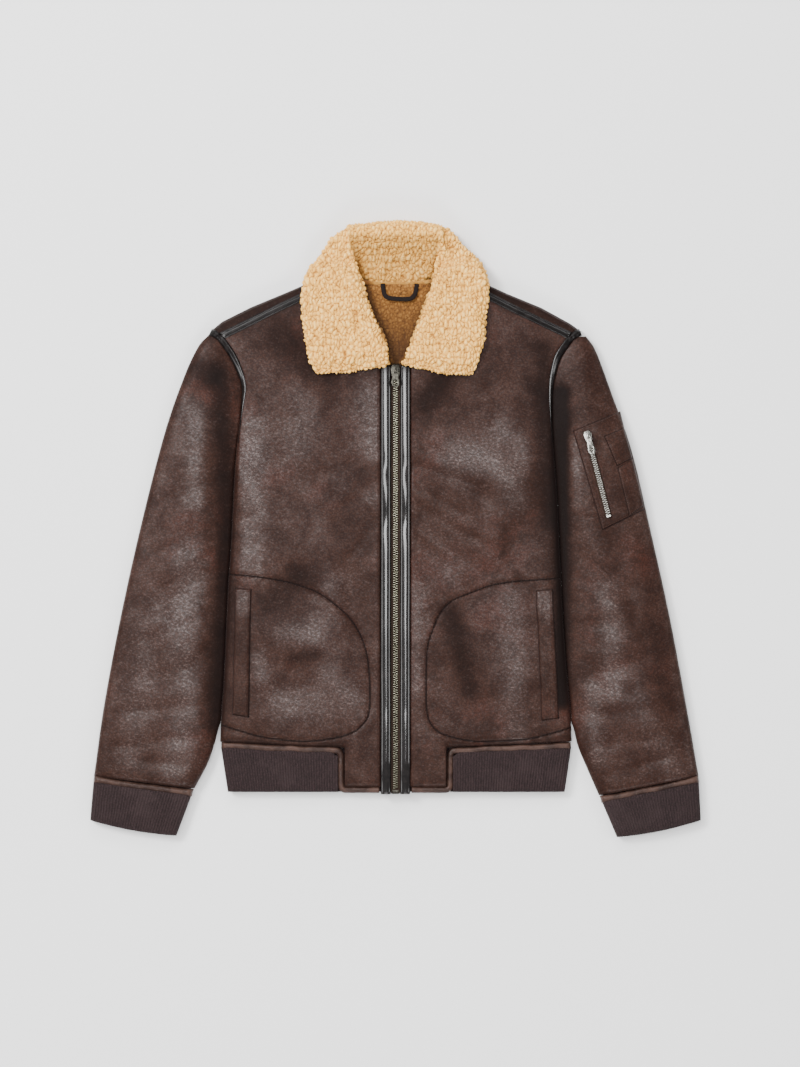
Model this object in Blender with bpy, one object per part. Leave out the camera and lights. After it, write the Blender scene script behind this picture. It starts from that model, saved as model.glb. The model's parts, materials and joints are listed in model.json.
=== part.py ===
"""Aviator jacket in bonded suede with a curly pile lining, laid flat on its back.

+X is the wearer's left sleeve, +Y the collar, +Z up. Lengths are millimetres until the meshes are
made, and metres after that. The lower layer (back, under sleeves, back rib) rests on z = 0, and the
upper layer (fronts, upper sleeves, front ribs) lies on it, a seam gap higher.
"""
import math

import bmesh
import bpy
from mathutils import Matrix, Vector
from mathutils.bvhtree import BVHTree

MM = 0.001
SIDE_NAMES = {"L": "left", "R": "right"}    # the sides of the photograph, not the wearer's

for leftover in list(bpy.data.objects):
    bpy.data.objects.remove(leftover, do_unlink=True)
PARTS = bpy.data.collections.new("aviator_jacket")
CUTTERS = bpy.data.collections.new("cutters")
bpy.context.scene.collection.children.link(PARTS)
bpy.context.scene.collection.children.link(CUTTERS)

# ---------------------------------------------------------------- driving dimensions, in mm
SEAM_GAP = 0.3          # between pieces that are sewn together
LAYER_TOP = 9.6         # top of the lower layer: suede with its pile, pressed flat
UPPER_BASE = LAYER_TOP + SEAM_GAP
FOLD_REACH = 15.0       # how far in from a folded edge the cloth is still rounding over
CHEST_RISE = 11.5       # fronts, above UPPER_BASE
SLEEVE_RISE = 13.0      # upper sleeves at their crown
ZIP_HALF = 19.2         # middle of the zip to the outer edge of its leather strip
TAPE_HALF = 6.0
CHAIN_HALF = 3.4
TAB_HALF = 66.0         # middle of the zip to the outer edge of a hem tab
WELT_ROLL = 8.0         # leather roll round a tab and above the ribs
RIB_DEPTH = 0.8

# Knots of the edges, seen from above. Side L is the wearer's right, at -X.
# columns: x, y
SIDE_EDGE = {
    "L": ((-228, -276), (-226, -231), (-223, -189), (-218, -79), (-214, -20), (-211, 42), (-208, 90)),
    "R": ((229, -275), (227, -229), (223, -189), (218, -118), (214, -40), (210, 45), (205, 110)),
}
ARMHOLE = {
    "L": ((-208, 90), (-203, 132), (-200, 162), (-198, 185), (-204, 207), (-214, 228), (-229, 249.5)),
    "R": ((205, 110), (203, 150), (203, 181), (206, 204), (213, 226), (229, 249.5)),
}
SHOULDER_FOLD = {       # from the sleeve to the neck
    "L": ((-239, 259), (-222, 272.5), (-197, 285), (-167, 298), (-135, 311), (-112, 321), (-74, 338)),
    "R": ((242, 257), (220, 272.5), (197, 285), (167, 298), (135, 311), (112, 322), (74, 339)),
}
NECKLINE = {
    "L": ((-19.5, 213), (-31, 236), (-47, 275), (-61, 312), (-66, 329)),
    "R": ((19.5, 213), (30, 236), (46, 275), (60, 312), (66, 329)),
}
SLEEVE_OUTER = {
    "L": ((-242, 254), (-257, 237), (-276, 196), (-301, 123), (-331, 6), (-357, -111), (-379, -228),
          (-392, -320)),
    "R": ((248, 251), (261, 231), (281, 177), (307, 103), (330, 6), (356, -111), (378, -228),
          (394, -320)),
}
CUFF_CORNERS = {        # inner top, outer top, inner end, outer end of the ribbing
    "L": ((-262, -337), (-392, -320), (-285, -398), (-397, -378)),
    "R": ((265, -346), (394, -320), (288, -400), (397, -378)),
}
POCKET_SEAM = {
    "L": ((-250, -57), (-209, -59), (-176, -62), (-142, -68), (-115, -76), (-97, -84), (-75, -100),
          (-57, -118), (-44, -140), (-37, -163), (-34, -185), (-33, -211), (-34, -237), (-40, -250),
          (-53, -262), (-75, -270), (-115, -275), (-164, -271), (-200, -262), (-250, -246)),
    "R": ((250, -62), (207, -64), (179, -66), (151, -68), (123, -73), (96, -83), (73, -93),
          (58, -109), (49, -129), (42, -151), (40, -185), (40, -214), (41, -237), (46, -252),
          (60, -265), (95, -274), (130, -275), (171, -272), (205, -264), (250, -250)),
}
POCKET_MOUTH = {        # outer top, inner top, inner end, outer end of the pocket welt
    "L": ((-208, -76), (-187, -77), (-190, -244), (-212, -240)),
    "R": ((204, -77), (182, -79), (189, -248), (212, -245)),
}
# Soft ridges (rise over 0) and troughs of the upper layer; columns: x1, y1, x2, y2, half width, rise
CREASES = (
    (-150, 250, -95, 120, 30, 2.2),
    (-190, 60, -150, -30, 26, 2.0),
    (-120, 60, -30, 10, 20, -1.8),
    (-70, -20, -15, 60, 22, 1.6),
    (-150, -130, -70, -200, 34, 2.4),
    (-60, -60, -25, -230, 16, -1.4),
    (90, 110, 150, 60, 34, 2.4),
    (20, 80, 110, 40, 16, -2.0),
    (25, 10, 110, -60, 18, -1.8),
    (40, 50, 130, -10, 20, 1.6),
    (90, -150, 150, -210, 34, 2.2),
    (200, 30, 150, -20, 20, -1.6),
    (-262, 90, -300, -120, 26, 2.4),
    (-300, -150, -330, -260, 30, 2.0),
    (-250, -60, -290, -90, 16, -2.0),
    (-240, -170, -300, -190, 14, -1.8),
    (245, 60, 275, -90, 24, 2.2),
    (290, -110, 330, -250, 30, 2.0),
    (240, -40, 300, -80, 16, -1.8),
    (250, -190, 320, -170, 14, -1.6),
)


# ---------------------------------------------------------------- curves and heights
def along(points, shares):
    """Points at given shares of the length of a smooth curve through the given knots."""
    knots = [Vector((*p, 0.0)[:3]) for p in points]
    knots = [2 * knots[0] - knots[1], *knots, 2 * knots[-1] - knots[-2]]
    fine = []
    for a, b, c, d in zip(knots, knots[1:], knots[2:], knots[3:]):
        for step in range(12):
            t = step / 12
            fine.append(0.5 * ((2 * b) + (c - a) * t + (2 * a - 5 * b + 4 * c - d) * t * t
                               + (3 * b - a - 3 * c + d) * t ** 3))
    fine.append(knots[-2])
    lengths = [0.0]
    for a, b in zip(fine, fine[1:]):
        lengths.append(lengths[-1] + (b - a).length)
    result = []
    for share in shares:
        wanted = lengths[-1] * share
        index = 0
        while index < len(fine) - 2 and lengths[index + 1] < wanted:
            index += 1
        part = (wanted - lengths[index]) / (lengths[index + 1] - lengths[index])
        result.append(fine[index].lerp(fine[index + 1], part))
    return result


def evenly(count):
    return [k / (count - 1) for k in range(count)]


def between(a, b, share):
    return a + (b - a) * share


def fold(distance, reach, rise, power=2.2):
    """Height of cloth that rounds up from a folded edge and then lies level."""
    distance = max(distance, 0.0)
    if distance >= reach:
        return rise
    return rise * (1 - (1 - distance / reach) ** power) ** (1 / power)


def creases(x, y):
    total = 0.0
    for x1, y1, x2, y2, half_width, rise in CREASES:
        along = Vector((x2 - x1, y2 - y1))
        share = Vector((x - x1, y - y1)).dot(along) / along.length_squared
        nearest = Vector((x1, y1)) + along * min(max(share, 0.0), 1.0)
        away = (Vector((x, y)) - nearest).length / half_width
        total += rise * math.exp(-away * away)
    return total


def smooth(low, high, value):
    t = min(max((value - low) / (high - low), 0.0), 1.0)
    return t * t * (3 - 2 * t)


def mirror_sign(side):
    return -1 if side == "L" else 1


# ---------------------------------------------------------------- making solids
def material(name, colour, roughness, metallic=0.0):
    made = bpy.data.materials.new(name)
    made.use_nodes = True
    shader = made.node_tree.nodes["Principled BSDF"]
    shader.inputs["Base Color"].default_value = (*colour, 1.0)
    shader.inputs["Roughness"].default_value = roughness
    shader.inputs["Metallic"].default_value = metallic
    made.diffuse_color = (*colour, 1.0)
    return made


FINISHES = {
    "leather": ((0.060, 0.026, 0.020), 0.48, 0.0),
    "roll": ((0.085, 0.040, 0.026), 0.42, 0.0),
    "piping": ((0.012, 0.010, 0.010), 0.28, 0.0),
    "rib": ((0.042, 0.026, 0.026), 0.90, 0.0),
    "pile": ((0.80, 0.56, 0.27), 0.95, 0.0),
    "lining": ((0.52, 0.27, 0.09), 0.95, 0.0),
    "tape": ((0.070, 0.045, 0.030), 0.85, 0.0),
    "loop": ((0.012, 0.011, 0.012), 0.70, 0.0),
    "metal": ((0.22, 0.21, 0.20), 0.38, 1.0),
    "bright": ((0.55, 0.54, 0.52), 0.30, 1.0),
}


def finish_object(name, bm, kind, round_shading=True):
    """Turn a bmesh in millimetres into a named object in metres with a material of its own."""
    bmesh.ops.recalc_face_normals(bm, faces=bm.faces[:])
    bmesh.ops.scale(bm, vec=(MM, MM, MM), verts=bm.verts[:])
    mesh = bpy.data.meshes.new(name)
    bm.to_mesh(mesh)
    bm.free()
    if round_shading:
        mesh.shade_smooth()
        mesh.set_sharp_from_angle(angle=math.radians(40))
    made = bpy.data.objects.new(name, mesh)
    colour, roughness, metallic = FINISHES[kind]
    mesh.materials.append(material(name, colour, roughness, metallic))
    PARTS.objects.link(made)
    return made


def grid_faces(bm, rows):
    verts = [[bm.verts.new(point) for point in row] for row in rows]
    for low, high in zip(verts, verts[1:]):
        for a, b, c, d in zip(low, low[1:], high[1:], high):
            bm.faces.new((a, b, c, d))
    return verts


def ring_of(rows):
    """The outer boundary of a grid, once round."""
    ring = list(rows[0])
    ring += [row[-1] for row in rows[1:-1]]
    ring += list(reversed(rows[-1]))
    ring += [row[0] for row in reversed(rows[1:-1])]
    return ring


def slab(name, rows, base, kind):
    """Cloth whose one face is a grid of points and whose other face is the plane z = base."""
    bm = bmesh.new()
    edge = ring_of(grid_faces(bm, rows))
    foot = [bm.verts.new((v.co.x, v.co.y, base)) for v in edge]
    for k in range(len(edge)):
        after = (k + 1) % len(edge)
        bm.faces.new((edge[k], edge[after], foot[after], foot[k]))
    bm.faces.new(foot)
    return finish_object(name, bm, kind)


def wall(name, outer, inner, kind):
    """Cloth between two grids with the same rows and columns."""
    bm = bmesh.new()
    outside = ring_of(grid_faces(bm, outer))
    inside = ring_of(grid_faces(bm, inner))
    for k in range(len(outside)):
        after = (k + 1) % len(outside)
        bm.faces.new((outside[k], outside[after], inside[after], inside[k]))
    return finish_object(name, bm, kind)


class Ground:
    """The highest point of some finished pieces under a place, for what is sewn on them."""

    def __init__(self, *pieces):
        self.trees = []
        for piece in pieces:
            bm = bmesh.new()
            bm.from_mesh(piece.data)
            self.trees.append(BVHTree.FromBMesh(bm))
            bm.free()

    def height(self, x, y):
        best = UPPER_BASE
        for tree in self.trees:
            hit = tree.ray_cast(Vector((x * MM, y * MM, 1.0)), Vector((0, 0, -1)))
            if hit[0] is not None:
                best = max(best, hit[0].z / MM)
        return best

    def near(self, x, y, radius=1.5):
        """The highest of a place and four points round it."""
        around = ((0, 0), (radius, 0), (-radius, 0), (0, radius), (0, -radius))
        return max(self.height(x + dx, y + dy) for dx, dy in around)


def strap(name, middle, half_widths, thickness, ground, kind, lift=SEAM_GAP):
    """A flat band along a line of points, lying on what is under it."""
    outer = []
    inner = []
    count = len(middle)
    for k, point in enumerate(middle):
        ahead = (middle[min(k + 1, count - 1)] - middle[max(k - 1, 0)]).normalized()
        across = Vector((-ahead.y, ahead.x, 0.0))
        top = []
        under = []
        for share in (-1.0, -0.5, 0.0, 0.5, 1.0):
            spot = point + across * half_widths[k] * share
            rest = ground.near(spot.x, spot.y, 2.5) + lift
            up = thickness * (0.6 if abs(share) == 1.0 else 1.0)
            under.append(Vector((spot.x, spot.y, rest)))
            top.append(Vector((spot.x, spot.y, rest + up)))
        outer.append(top)
        inner.append(under)
    return wall(name, outer, inner, kind)


# ---------------------------------------------------------------- the body
END_ROWS = (0.0, 0.003, 0.010, 0.022)        # rows close to an edge that rounds down
BODY_ROWS = 20
ROW_SHARES = [*END_ROWS, *(between(0.022, 0.984, k / BODY_ROWS) for k in range(1, BODY_ROWS)),
              0.984, 0.993, 1.0]
SIDE_SHARES = (0.0, 0.0035, 0.0145, 0.036, 0.072)
RIM = 0.8                                    # least height of an upper piece at a folded edge
NECK_LENGTH = 126.0                          # a front's neckline, from the zip to the shoulder


def side_points(side):
    """The body's edge from the hem up to the front's shoulder corner, one point a row."""
    return along(SIDE_EDGE[side] + ARMHOLE[side][1:], ROW_SHARES)


def centre_points(side):
    """The front's inner edge: along the zip, then round the neck."""
    neck_start = Vector((*NECKLINE[side][0], 0.0))
    hem_end = Vector((neck_start.x, -285.0, 0.0))
    straight = (neck_start - hem_end).length
    whole = straight + NECK_LENGTH
    points = []
    for share in ROW_SHARES:
        past = share * whole - straight
        if past <= 0:
            points.append(between(hem_end, neck_start, share * whole / straight))
        else:
            points += along(NECKLINE[side], [past / NECK_LENGTH])
    return points


def neck_edge_x(side, y):
    """Where a front's inner edge is at a height on the neck."""
    points = centre_points(side)
    for a, b in zip(points, points[1:]):
        if a.y <= y <= b.y:
            return between(a.x, b.x, (y - a.y) / (b.y - a.y))
    return points[-1].x


def centre_level(y):
    """Height of the cloth beside the zip."""
    both = creases(-ZIP_HALF, y) + creases(ZIP_HALF, y)
    hem_drop = 3.0 * (1 - smooth(-338, -300, y))
    return UPPER_BASE + CHEST_RISE + both / 2 - hem_drop


def front_height(spot, from_side, from_centre, from_hem, from_shoulder):
    level = CHEST_RISE + creases(spot.x, spot.y)
    armhole = smooth(80, 135, spot.y)
    folded = fold(from_side, FOLD_REACH, level - RIM) + RIM
    sewn = level - 4.5 + fold(from_side, 10, 4.5)
    height = folded * (1 - armhole) + sewn * armhole
    height -= 1.8 - fold(from_centre, 4, 1.8)
    height -= 4.0 - fold(from_hem, 12, 4.0)
    height -= 2.0 - fold(from_shoulder, 6, 2.0)
    return UPPER_BASE + max(height, RIM)


def front(side):
    """A front from side to zip, its tab reaching down beside the zip to the hem."""
    tab = TAB_HALF - ZIP_HALF - SEAM_GAP
    tab_bottom = HEM_BOTTOM + 6.8
    drop_rows = 8
    sides = side_points(side)
    start = centre_points(side)[0]
    rows = []
    for k, (outer, centre) in enumerate(zip(sides, centre_points(side))):
        length = (centre - outer).length
        plain = length - tab - SEAM_GAP
        distances = [share * length for share in SIDE_SHARES]
        step = (plain - distances[-1]) / 8
        distances += [distances[-1] + step * n for n in range(1, 9)]
        distances += [length - d for d in (tab, tab * 0.66, tab * 0.33, 4.0, 1.0, 0.0)]
        row = []
        for n, distance in enumerate(distances):
            spot = outer.lerp(centre, distance / length)
            hem = -276 - 9 * distance / length
            if n >= 13:
                first = between(sides[0], start, distance / length)
                spot.y -= (first.y - tab_bottom) * max(0.0, 1 - k / drop_rows)
                hem = tab_bottom
            to_shoulder = (sides[-1] - outer).length if n < 5 else (1 - ROW_SHARES[k]) * 600
            spot.z = front_height(spot, distance, length - distance, spot.y - hem, to_shoulder)
            row.append(spot)
        rows.append(row)
    return slab("front_" + SIDE_NAMES[side], rows, UPPER_BASE, "leather")


def to_cutters(piece):
    PARTS.objects.unlink(piece)
    CUTTERS.objects.link(piece)
    piece.hide_render = True
    piece.display_type = "WIRE"
    return piece


def prism(name, outline, grow):
    """A cutter: a closed outline, moved outward by a little, with upright sides."""
    bm = bmesh.new()
    count = len(outline)
    corners = []
    area = sum(a.x * b.y - b.x * a.y for a, b in zip(outline, outline[1:] + outline[:1]))
    turn = 1 if area > 0 else -1
    for k, point in enumerate(outline):
        ahead = (outline[(k + 1) % count] - outline[k - 1]).normalized()
        corners.append(point + Vector((ahead.y, -ahead.x, 0.0)) * grow * turn)
    face = bm.faces.new([bm.verts.new((c.x, c.y, UPPER_BASE - 4)) for c in corners])
    risen = bmesh.ops.extrude_face_region(bm, geom=[face])["geom"]
    top = [v for v in risen if isinstance(v, bmesh.types.BMVert)]
    bmesh.ops.translate(bm, verts=top, vec=(0, 0, 40))
    return to_cutters(finish_object(name, bm, "tape", round_shading=False))


def cut(piece, cutter, operation):
    made = piece.modifiers.new(operation.lower(), "BOOLEAN")
    made.operation = operation
    made.solver = "EXACT"
    made.object = cutter


def pocket_panel(side, whole_front):
    """The lower side panel is the front's own surface inside the curved pocket seam."""
    outline = along(POCKET_SEAM[side], evenly(46))
    panel = whole_front.copy()
    panel.data = whole_front.data.copy()
    panel.name = "pocket_panel_" + SIDE_NAMES[side]
    PARTS.objects.link(panel)
    half_gap = SEAM_GAP / 2
    cut(panel, prism("pocket_inside_" + SIDE_NAMES[side], outline, -half_gap), "INTERSECT")
    cut(whole_front, prism("pocket_outside_" + SIDE_NAMES[side], outline, half_gap), "DIFFERENCE")
    return panel


def pocket_welt(side, ground):
    """The leather bar that edges a pocket's upright mouth."""
    outer_top, inner_top, inner_end, outer_end = (Vector((*p, 0.0)) for p in POCKET_MOUTH[side])
    outer = []
    inner = []
    for down in (0.0, 0.02, *(k / 8 for k in range(1, 8)), 0.98, 1.0):
        start = between(outer_top, outer_end, down)
        end = between(inner_top, inner_end, down)
        top = []
        under = []
        for share in (0.0, 0.12, 0.5, 0.88, 1.0):
            spot = between(start, end, share)
            rest = ground.near(spot.x, spot.y, 2.5) + SEAM_GAP
            end_round = fold(min(down, 1 - down) * 165, 3, 1.0)
            up = 0.8 + 1.6 * fold(min(share, 1 - share), 0.3, 1.0) * end_round
            under.append(Vector((spot.x, spot.y, rest)))
            top.append(Vector((spot.x, spot.y, rest + up)))
        outer.append(top)
        inner.append(under)
    return wall("pocket_welt_" + SIDE_NAMES[side], outer, inner, "roll")


NECK_SHARE = 0.373      # of the back's width: where its neckline begins
BACK_COLUMNS = (0.0, 0.004, 0.016, 0.036, 0.12, 0.22, 0.30, 0.367, NECK_SHARE, 0.41, 0.455)
BACK_SHARES = (*BACK_COLUMNS, 0.5, *(1 - share for share in reversed(BACK_COLUMNS)))
UNDER_FOLD = 13.0       # how far in from a folded edge the underside leaves the floor


def neck_y(x):
    """The seam between the back and the collar."""
    return 320.5 + 10.0 * (x / 64) ** 2


def under_height(distance):
    """The underside near a folded edge: it curls up to the middle of the whole thickness."""
    return (LAYER_TOP - RIM) - fold(distance, UNDER_FOLD, LAYER_TOP - RIM)


def back():
    """The back: flat underneath, and folded over the shoulders to the forward shoulder seam."""
    left = side_points("L")
    right = side_points("R")
    seam = [left[-1] + Vector((-0.25, 0.45, 0)), Vector((-66.2, 329.6, 0)),
            Vector((66.2, 329.6, 0)), right[-1] + Vector((0.25, 0.45, 0))]
    shoulder = 0.367

    def neck_at(share):
        x = between(-64.0, 64.0, (share - NECK_SHARE) / (1 - 2 * NECK_SHARE))
        return Vector((x, neck_y(x), 0.0))

    def seam_at(share):
        if share <= shoulder:
            return between(seam[0], seam[1], share / shoulder)
        if share >= 1 - shoulder:
            return between(seam[3], seam[2], (1 - share) / shoulder)
        return neck_at(share) + Vector((0, -9, 0))

    def top_at(share):
        if share <= shoulder:
            return along(SHOULDER_FOLD["L"], [share / shoulder])[0]
        if share >= 1 - shoulder:
            return along(SHOULDER_FOLD["R"], [(1 - share) / shoulder])[0]
        return neck_at(share)

    under = []
    upper = []
    last = len(ROW_SHARES) - 1
    start_l, start_r, end_l, end_r = left[0], right[0], seam[0], seam[3]
    straight_rows = [k for k in range(0, last - 1, 3) if left[k].y < 60]
    curved_rows = [k for k in range(straight_rows[-1] + 1, last - 1) if left[k].y > 70]
    for k in straight_rows + curved_rows:
        v = ROW_SHARES[k]
        low = []
        high = []
        for u in BACK_SHARES:
            across = between(left[k], right[k], u)
            upward = between(between(start_l, start_r, u), seam_at(u), v)
            corner = between(between(start_l, start_r, u), between(end_l, end_r, u), v)
            spot = across + upward - corner
            edge = min(u, 1 - u) * 450
            low.append(Vector((spot.x, spot.y, under_height(edge))))
            high.append(Vector((spot.x, spot.y, LAYER_TOP)))
        under.append(low)
        upper.append(high)
    for out in (0.0, 0.07, 0.45, 0.8, 1.0):
        low = []
        high = []
        for u in BACK_SHARES:
            spot = between(seam_at(u), top_at(u), out)
            edge = min(u, 1 - u) * 450
            over = min(u, 1 - u) <= 0.31
            to_fold = (1 - out) * (top_at(u) - seam_at(u)).length
            rise = fold(to_fold, 8, 9.0) + 0.6 if over and out > 0 else 0.0
            if out == 0.0 and over:
                rise = 0.0
            down = under_height(min(edge, to_fold + 0.01)) if over else 0.0
            low.append(Vector((spot.x, spot.y, down)))
            high.append(Vector((spot.x, spot.y, LAYER_TOP + rise)))
        under.append(low)
        upper.append(high)
    return wall("back", under, upper, "leather")


# ---------------------------------------------------------------- the hem
HEM_RIBS = 44
HEM_SHARES = (0.0, 0.004, 0.016, 0.036, 0.3, 0.7, 0.964, 0.984, 0.996, 1.0)
HEM_END = {"L": -218, "R": 220}
HEM_BOTTOM = -341.0
BACK_RIB_TOP = -285.0
HEM_EDGE_X = {"L": -226.5, "R": 228.0}


def hem_line(x):
    """The seam between the body and the hem, a little lower beside the tabs."""
    return -276.3 - 9 * (1 - (abs(x) - 20) / 208)


def roll_rows(points, half_width, rise, base, end_fold=0.0):
    """Rows of a rolled leather edge along a line: half round on top."""
    rows = []
    count = len(points)
    for k, point in enumerate(points):
        ahead = (points[min(k + 1, count - 1)] - points[max(k - 1, 0)]).normalized()
        across = Vector((-ahead.y, ahead.x, 0.0))
        row = []
        for share in (-1.0, -0.72, 0.0, 0.72, 1.0):
            spot = point + across * half_width * share
            height = 0.35 * rise + 0.65 * rise * math.sqrt(max(0.0, 1 - share * share))
            if end_fold:
                height = min(height, RIM + fold((point - points[0]).length, end_fold, rise))
            spot.z = base + height
            row.append(spot)
        rows.append(row)
    return rows


def hem_welt(side):
    """Rolled leather between body and ribs, turning down the tab and along under it."""
    s = mirror_sign(side)
    half = WELT_ROLL / 2
    start = HEM_EDGE_X[side]
    points = []
    for share in (0, 0.01, 0.03, 0.07, 0.15, 0.28, 0.42, 0.56, 0.7, 0.84, 0.95):
        x = between(start, s * (TAB_HALF + half + 4), share)
        points.append(Vector((x, hem_line(x) - half - SEAM_GAP, 0)))
    down_x = s * (TAB_HALF + half + 0.6)
    corner_y = hem_line(down_x) - half - 5
    foot_y = HEM_BOTTOM + half - 1.1
    points.append(Vector((down_x + s * 1.5, corner_y + 1.6, 0)))
    for share in evenly(5):
        points.append(Vector((down_x, between(corner_y - 2, foot_y + 5, share), 0)))
    points.append(Vector((down_x - s * 1.5, foot_y + 1.5, 0)))
    for share in evenly(4):
        x = between(down_x - s * 5, s * (ZIP_HALF + SEAM_GAP), share)
        points.append(Vector((x, foot_y, 0)))
    rows = roll_rows(points, half - 0.5, 7.2, UPPER_BASE, end_fold=9.0)
    return slab("hem_welt_" + SIDE_NAMES[side], rows, UPPER_BASE, "roll")


def hem_rib(side):
    """Ribbing of one front, its ribs raised in the outer points."""
    s = mirror_sign(side)
    inner_x = s * (TAB_HALF + WELT_ROLL + 0.8)
    rows = []
    for y_share in (0.0, 0.9, 1.0):
        row = []
        edge = between(HEM_EDGE_X[side] + s * 0.4, HEM_END[side], y_share)
        for n in range(2 * HEM_RIBS + 1):
            share = n / (2 * HEM_RIBS)
            x = between(edge, inner_x, share)
            top_y = hem_line(x) - WELT_ROLL - 0.6 - 4.5 * smooth(9, 1, abs(x - inner_x))
            y = between(top_y, HEM_BOTTOM, y_share)
            ridge = RIB_DEPTH / 2 if n % 2 else -RIB_DEPTH / 2
            rise = RIM + 0.5 + fold(abs(x - edge), 11, 5.6)
            rounded = 2.6 - fold(abs(y - HEM_BOTTOM), 7, 2.6)
            row.append(Vector((x, y, UPPER_BASE + max(rise - rounded + ridge, RIM))))
        rows.append(row)
    return slab("hem_rib_" + SIDE_NAMES[side], rows, UPPER_BASE, "rib")


def hem_back(name, top, bottom, kind):
    """One strip of the hem's lower layer, from side to side, between two heights on the garment."""
    rows = []
    for y in (top, between(top, bottom, 0.5), bottom):
        narrowing = max(0.0, (BACK_RIB_TOP - y) / (BACK_RIB_TOP - HEM_BOTTOM))
        left = between(HEM_EDGE_X["L"] + 0.4, HEM_END["L"], narrowing)
        right = between(HEM_EDGE_X["R"] - 0.4, HEM_END["R"], narrowing)
        rows.append([Vector((between(left, right, u), y, under_height(min(u, 1 - u) * (right - left))))
                     for u in HEM_SHARES])
    return slab(name, rows, LAYER_TOP, kind)


# ---------------------------------------------------------------- sleeves and cuffs
ARM_GAP = {"seam": 0.45, "beside": 1.3}
CUFF_ROWS = 7
CUFF_PATH = {"L": ((-231, -262), (-238, -287), (-246, -308), (-261.5, -336.5)),
             "R": ((232.5, -262), (238, -284), (248, -308), (264.5, -345.5))}
SLEEVE_SHARES = (0.0, 0.006, 0.025, 0.07, 0.16, 0.32, 0.5, 0.68, 0.83, 0.93, 0.98, 1.0)
UNDER_SHARES = (0.0, 0.008, 0.04, 0.10, 0.5, 0.90, 0.96, 0.992, 1.0)


def sleeve_edges(side):
    """Pairs of inner and outer edge points, from the shoulder down to the cuff."""
    s = mirror_sign(side)
    body = side_points(side)
    inner = []
    for k in range(len(body) - 1, 2, -1):
        ahead = (body[k - 1] - body[min(k + 1, len(body) - 1)]).normalized()
        outward = Vector((s * abs(ahead.y), -ahead.x * s * (1 if ahead.y < 0 else -1), 0.0))
        beside = 1 - smooth(70, 130, body[k].y)
        gap = between(ARM_GAP["seam"], ARM_GAP["beside"], beside)
        if body[k].y > -250:
            inner.append(body[k] + outward * gap)
    free = [inner[-1], *(Vector((*p, 0.0)) for p in CUFF_PATH[side])]
    inner += along(free, evenly(CUFF_ROWS))[1:]
    lengths = [0.0]
    for a, b in zip(inner, inner[1:]):
        lengths.append(lengths[-1] + (b - a).length)
    outer = along(SLEEVE_OUTER[side], [length / lengths[-1] for length in lengths])
    return list(zip(inner, outer))


def sleeve(side):
    """Upper half of a sleeve, crowned, and its under half, flat on the floor."""
    pairs = sleeve_edges(side)
    cuff = pairs[-1]
    upper = []
    lower = []
    for inner, outer in pairs:
        length = (outer - inner).length
        top = []
        low = []
        for share in SLEEVE_SHARES:
            spot = between(inner, outer, share)
            from_inner = share * length
            from_outer = (1 - share) * length
            crown = SLEEVE_RISE + creases(spot.x, spot.y)
            armhole = smooth(80, 135, inner.y)
            inner_part = fold(from_inner, 24, 1.0) * (1 - armhole)
            inner_part += (0.62 + fold(from_inner, 16, 0.38)) * armhole
            height = RIM + crown * inner_part * fold(from_outer, 38, 1.0)
            to_cuff = (between(*cuff, share) - spot).length
            height -= (3.5 - fold(to_cuff, 12, 3.5)) * fold(from_inner, 10, 1.0)
            top.append(Vector((spot.x, spot.y, UPPER_BASE + max(height, RIM))))
        for share in UNDER_SHARES:
            spot = between(inner, outer, share)
            low.append(Vector((spot.x, spot.y, under_height(min(share, 1 - share) * length))))
        upper.append(top)
        lower.append(low)
    top_piece = slab("sleeve_" + SIDE_NAMES[side] + "_upper", upper, UPPER_BASE, "leather")
    low_piece = slab("sleeve_" + SIDE_NAMES[side] + "_under", lower, LAYER_TOP, "leather")
    return top_piece, low_piece


CUFF_RIBS = 34


def cuff_spot(side, across, down):
    """A place on the cuff: across from its inner to its outer edge, down to its end."""
    inner_top, outer_top, inner_end, outer_end = (Vector((*p, 0.0)) for p in CUFF_CORNERS[side])
    bow = Vector((0, -3.0, 0)) * math.sin(math.pi * across) * down
    return between(between(inner_top, inner_end, down), between(outer_top, outer_end, down), across) + bow


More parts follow.
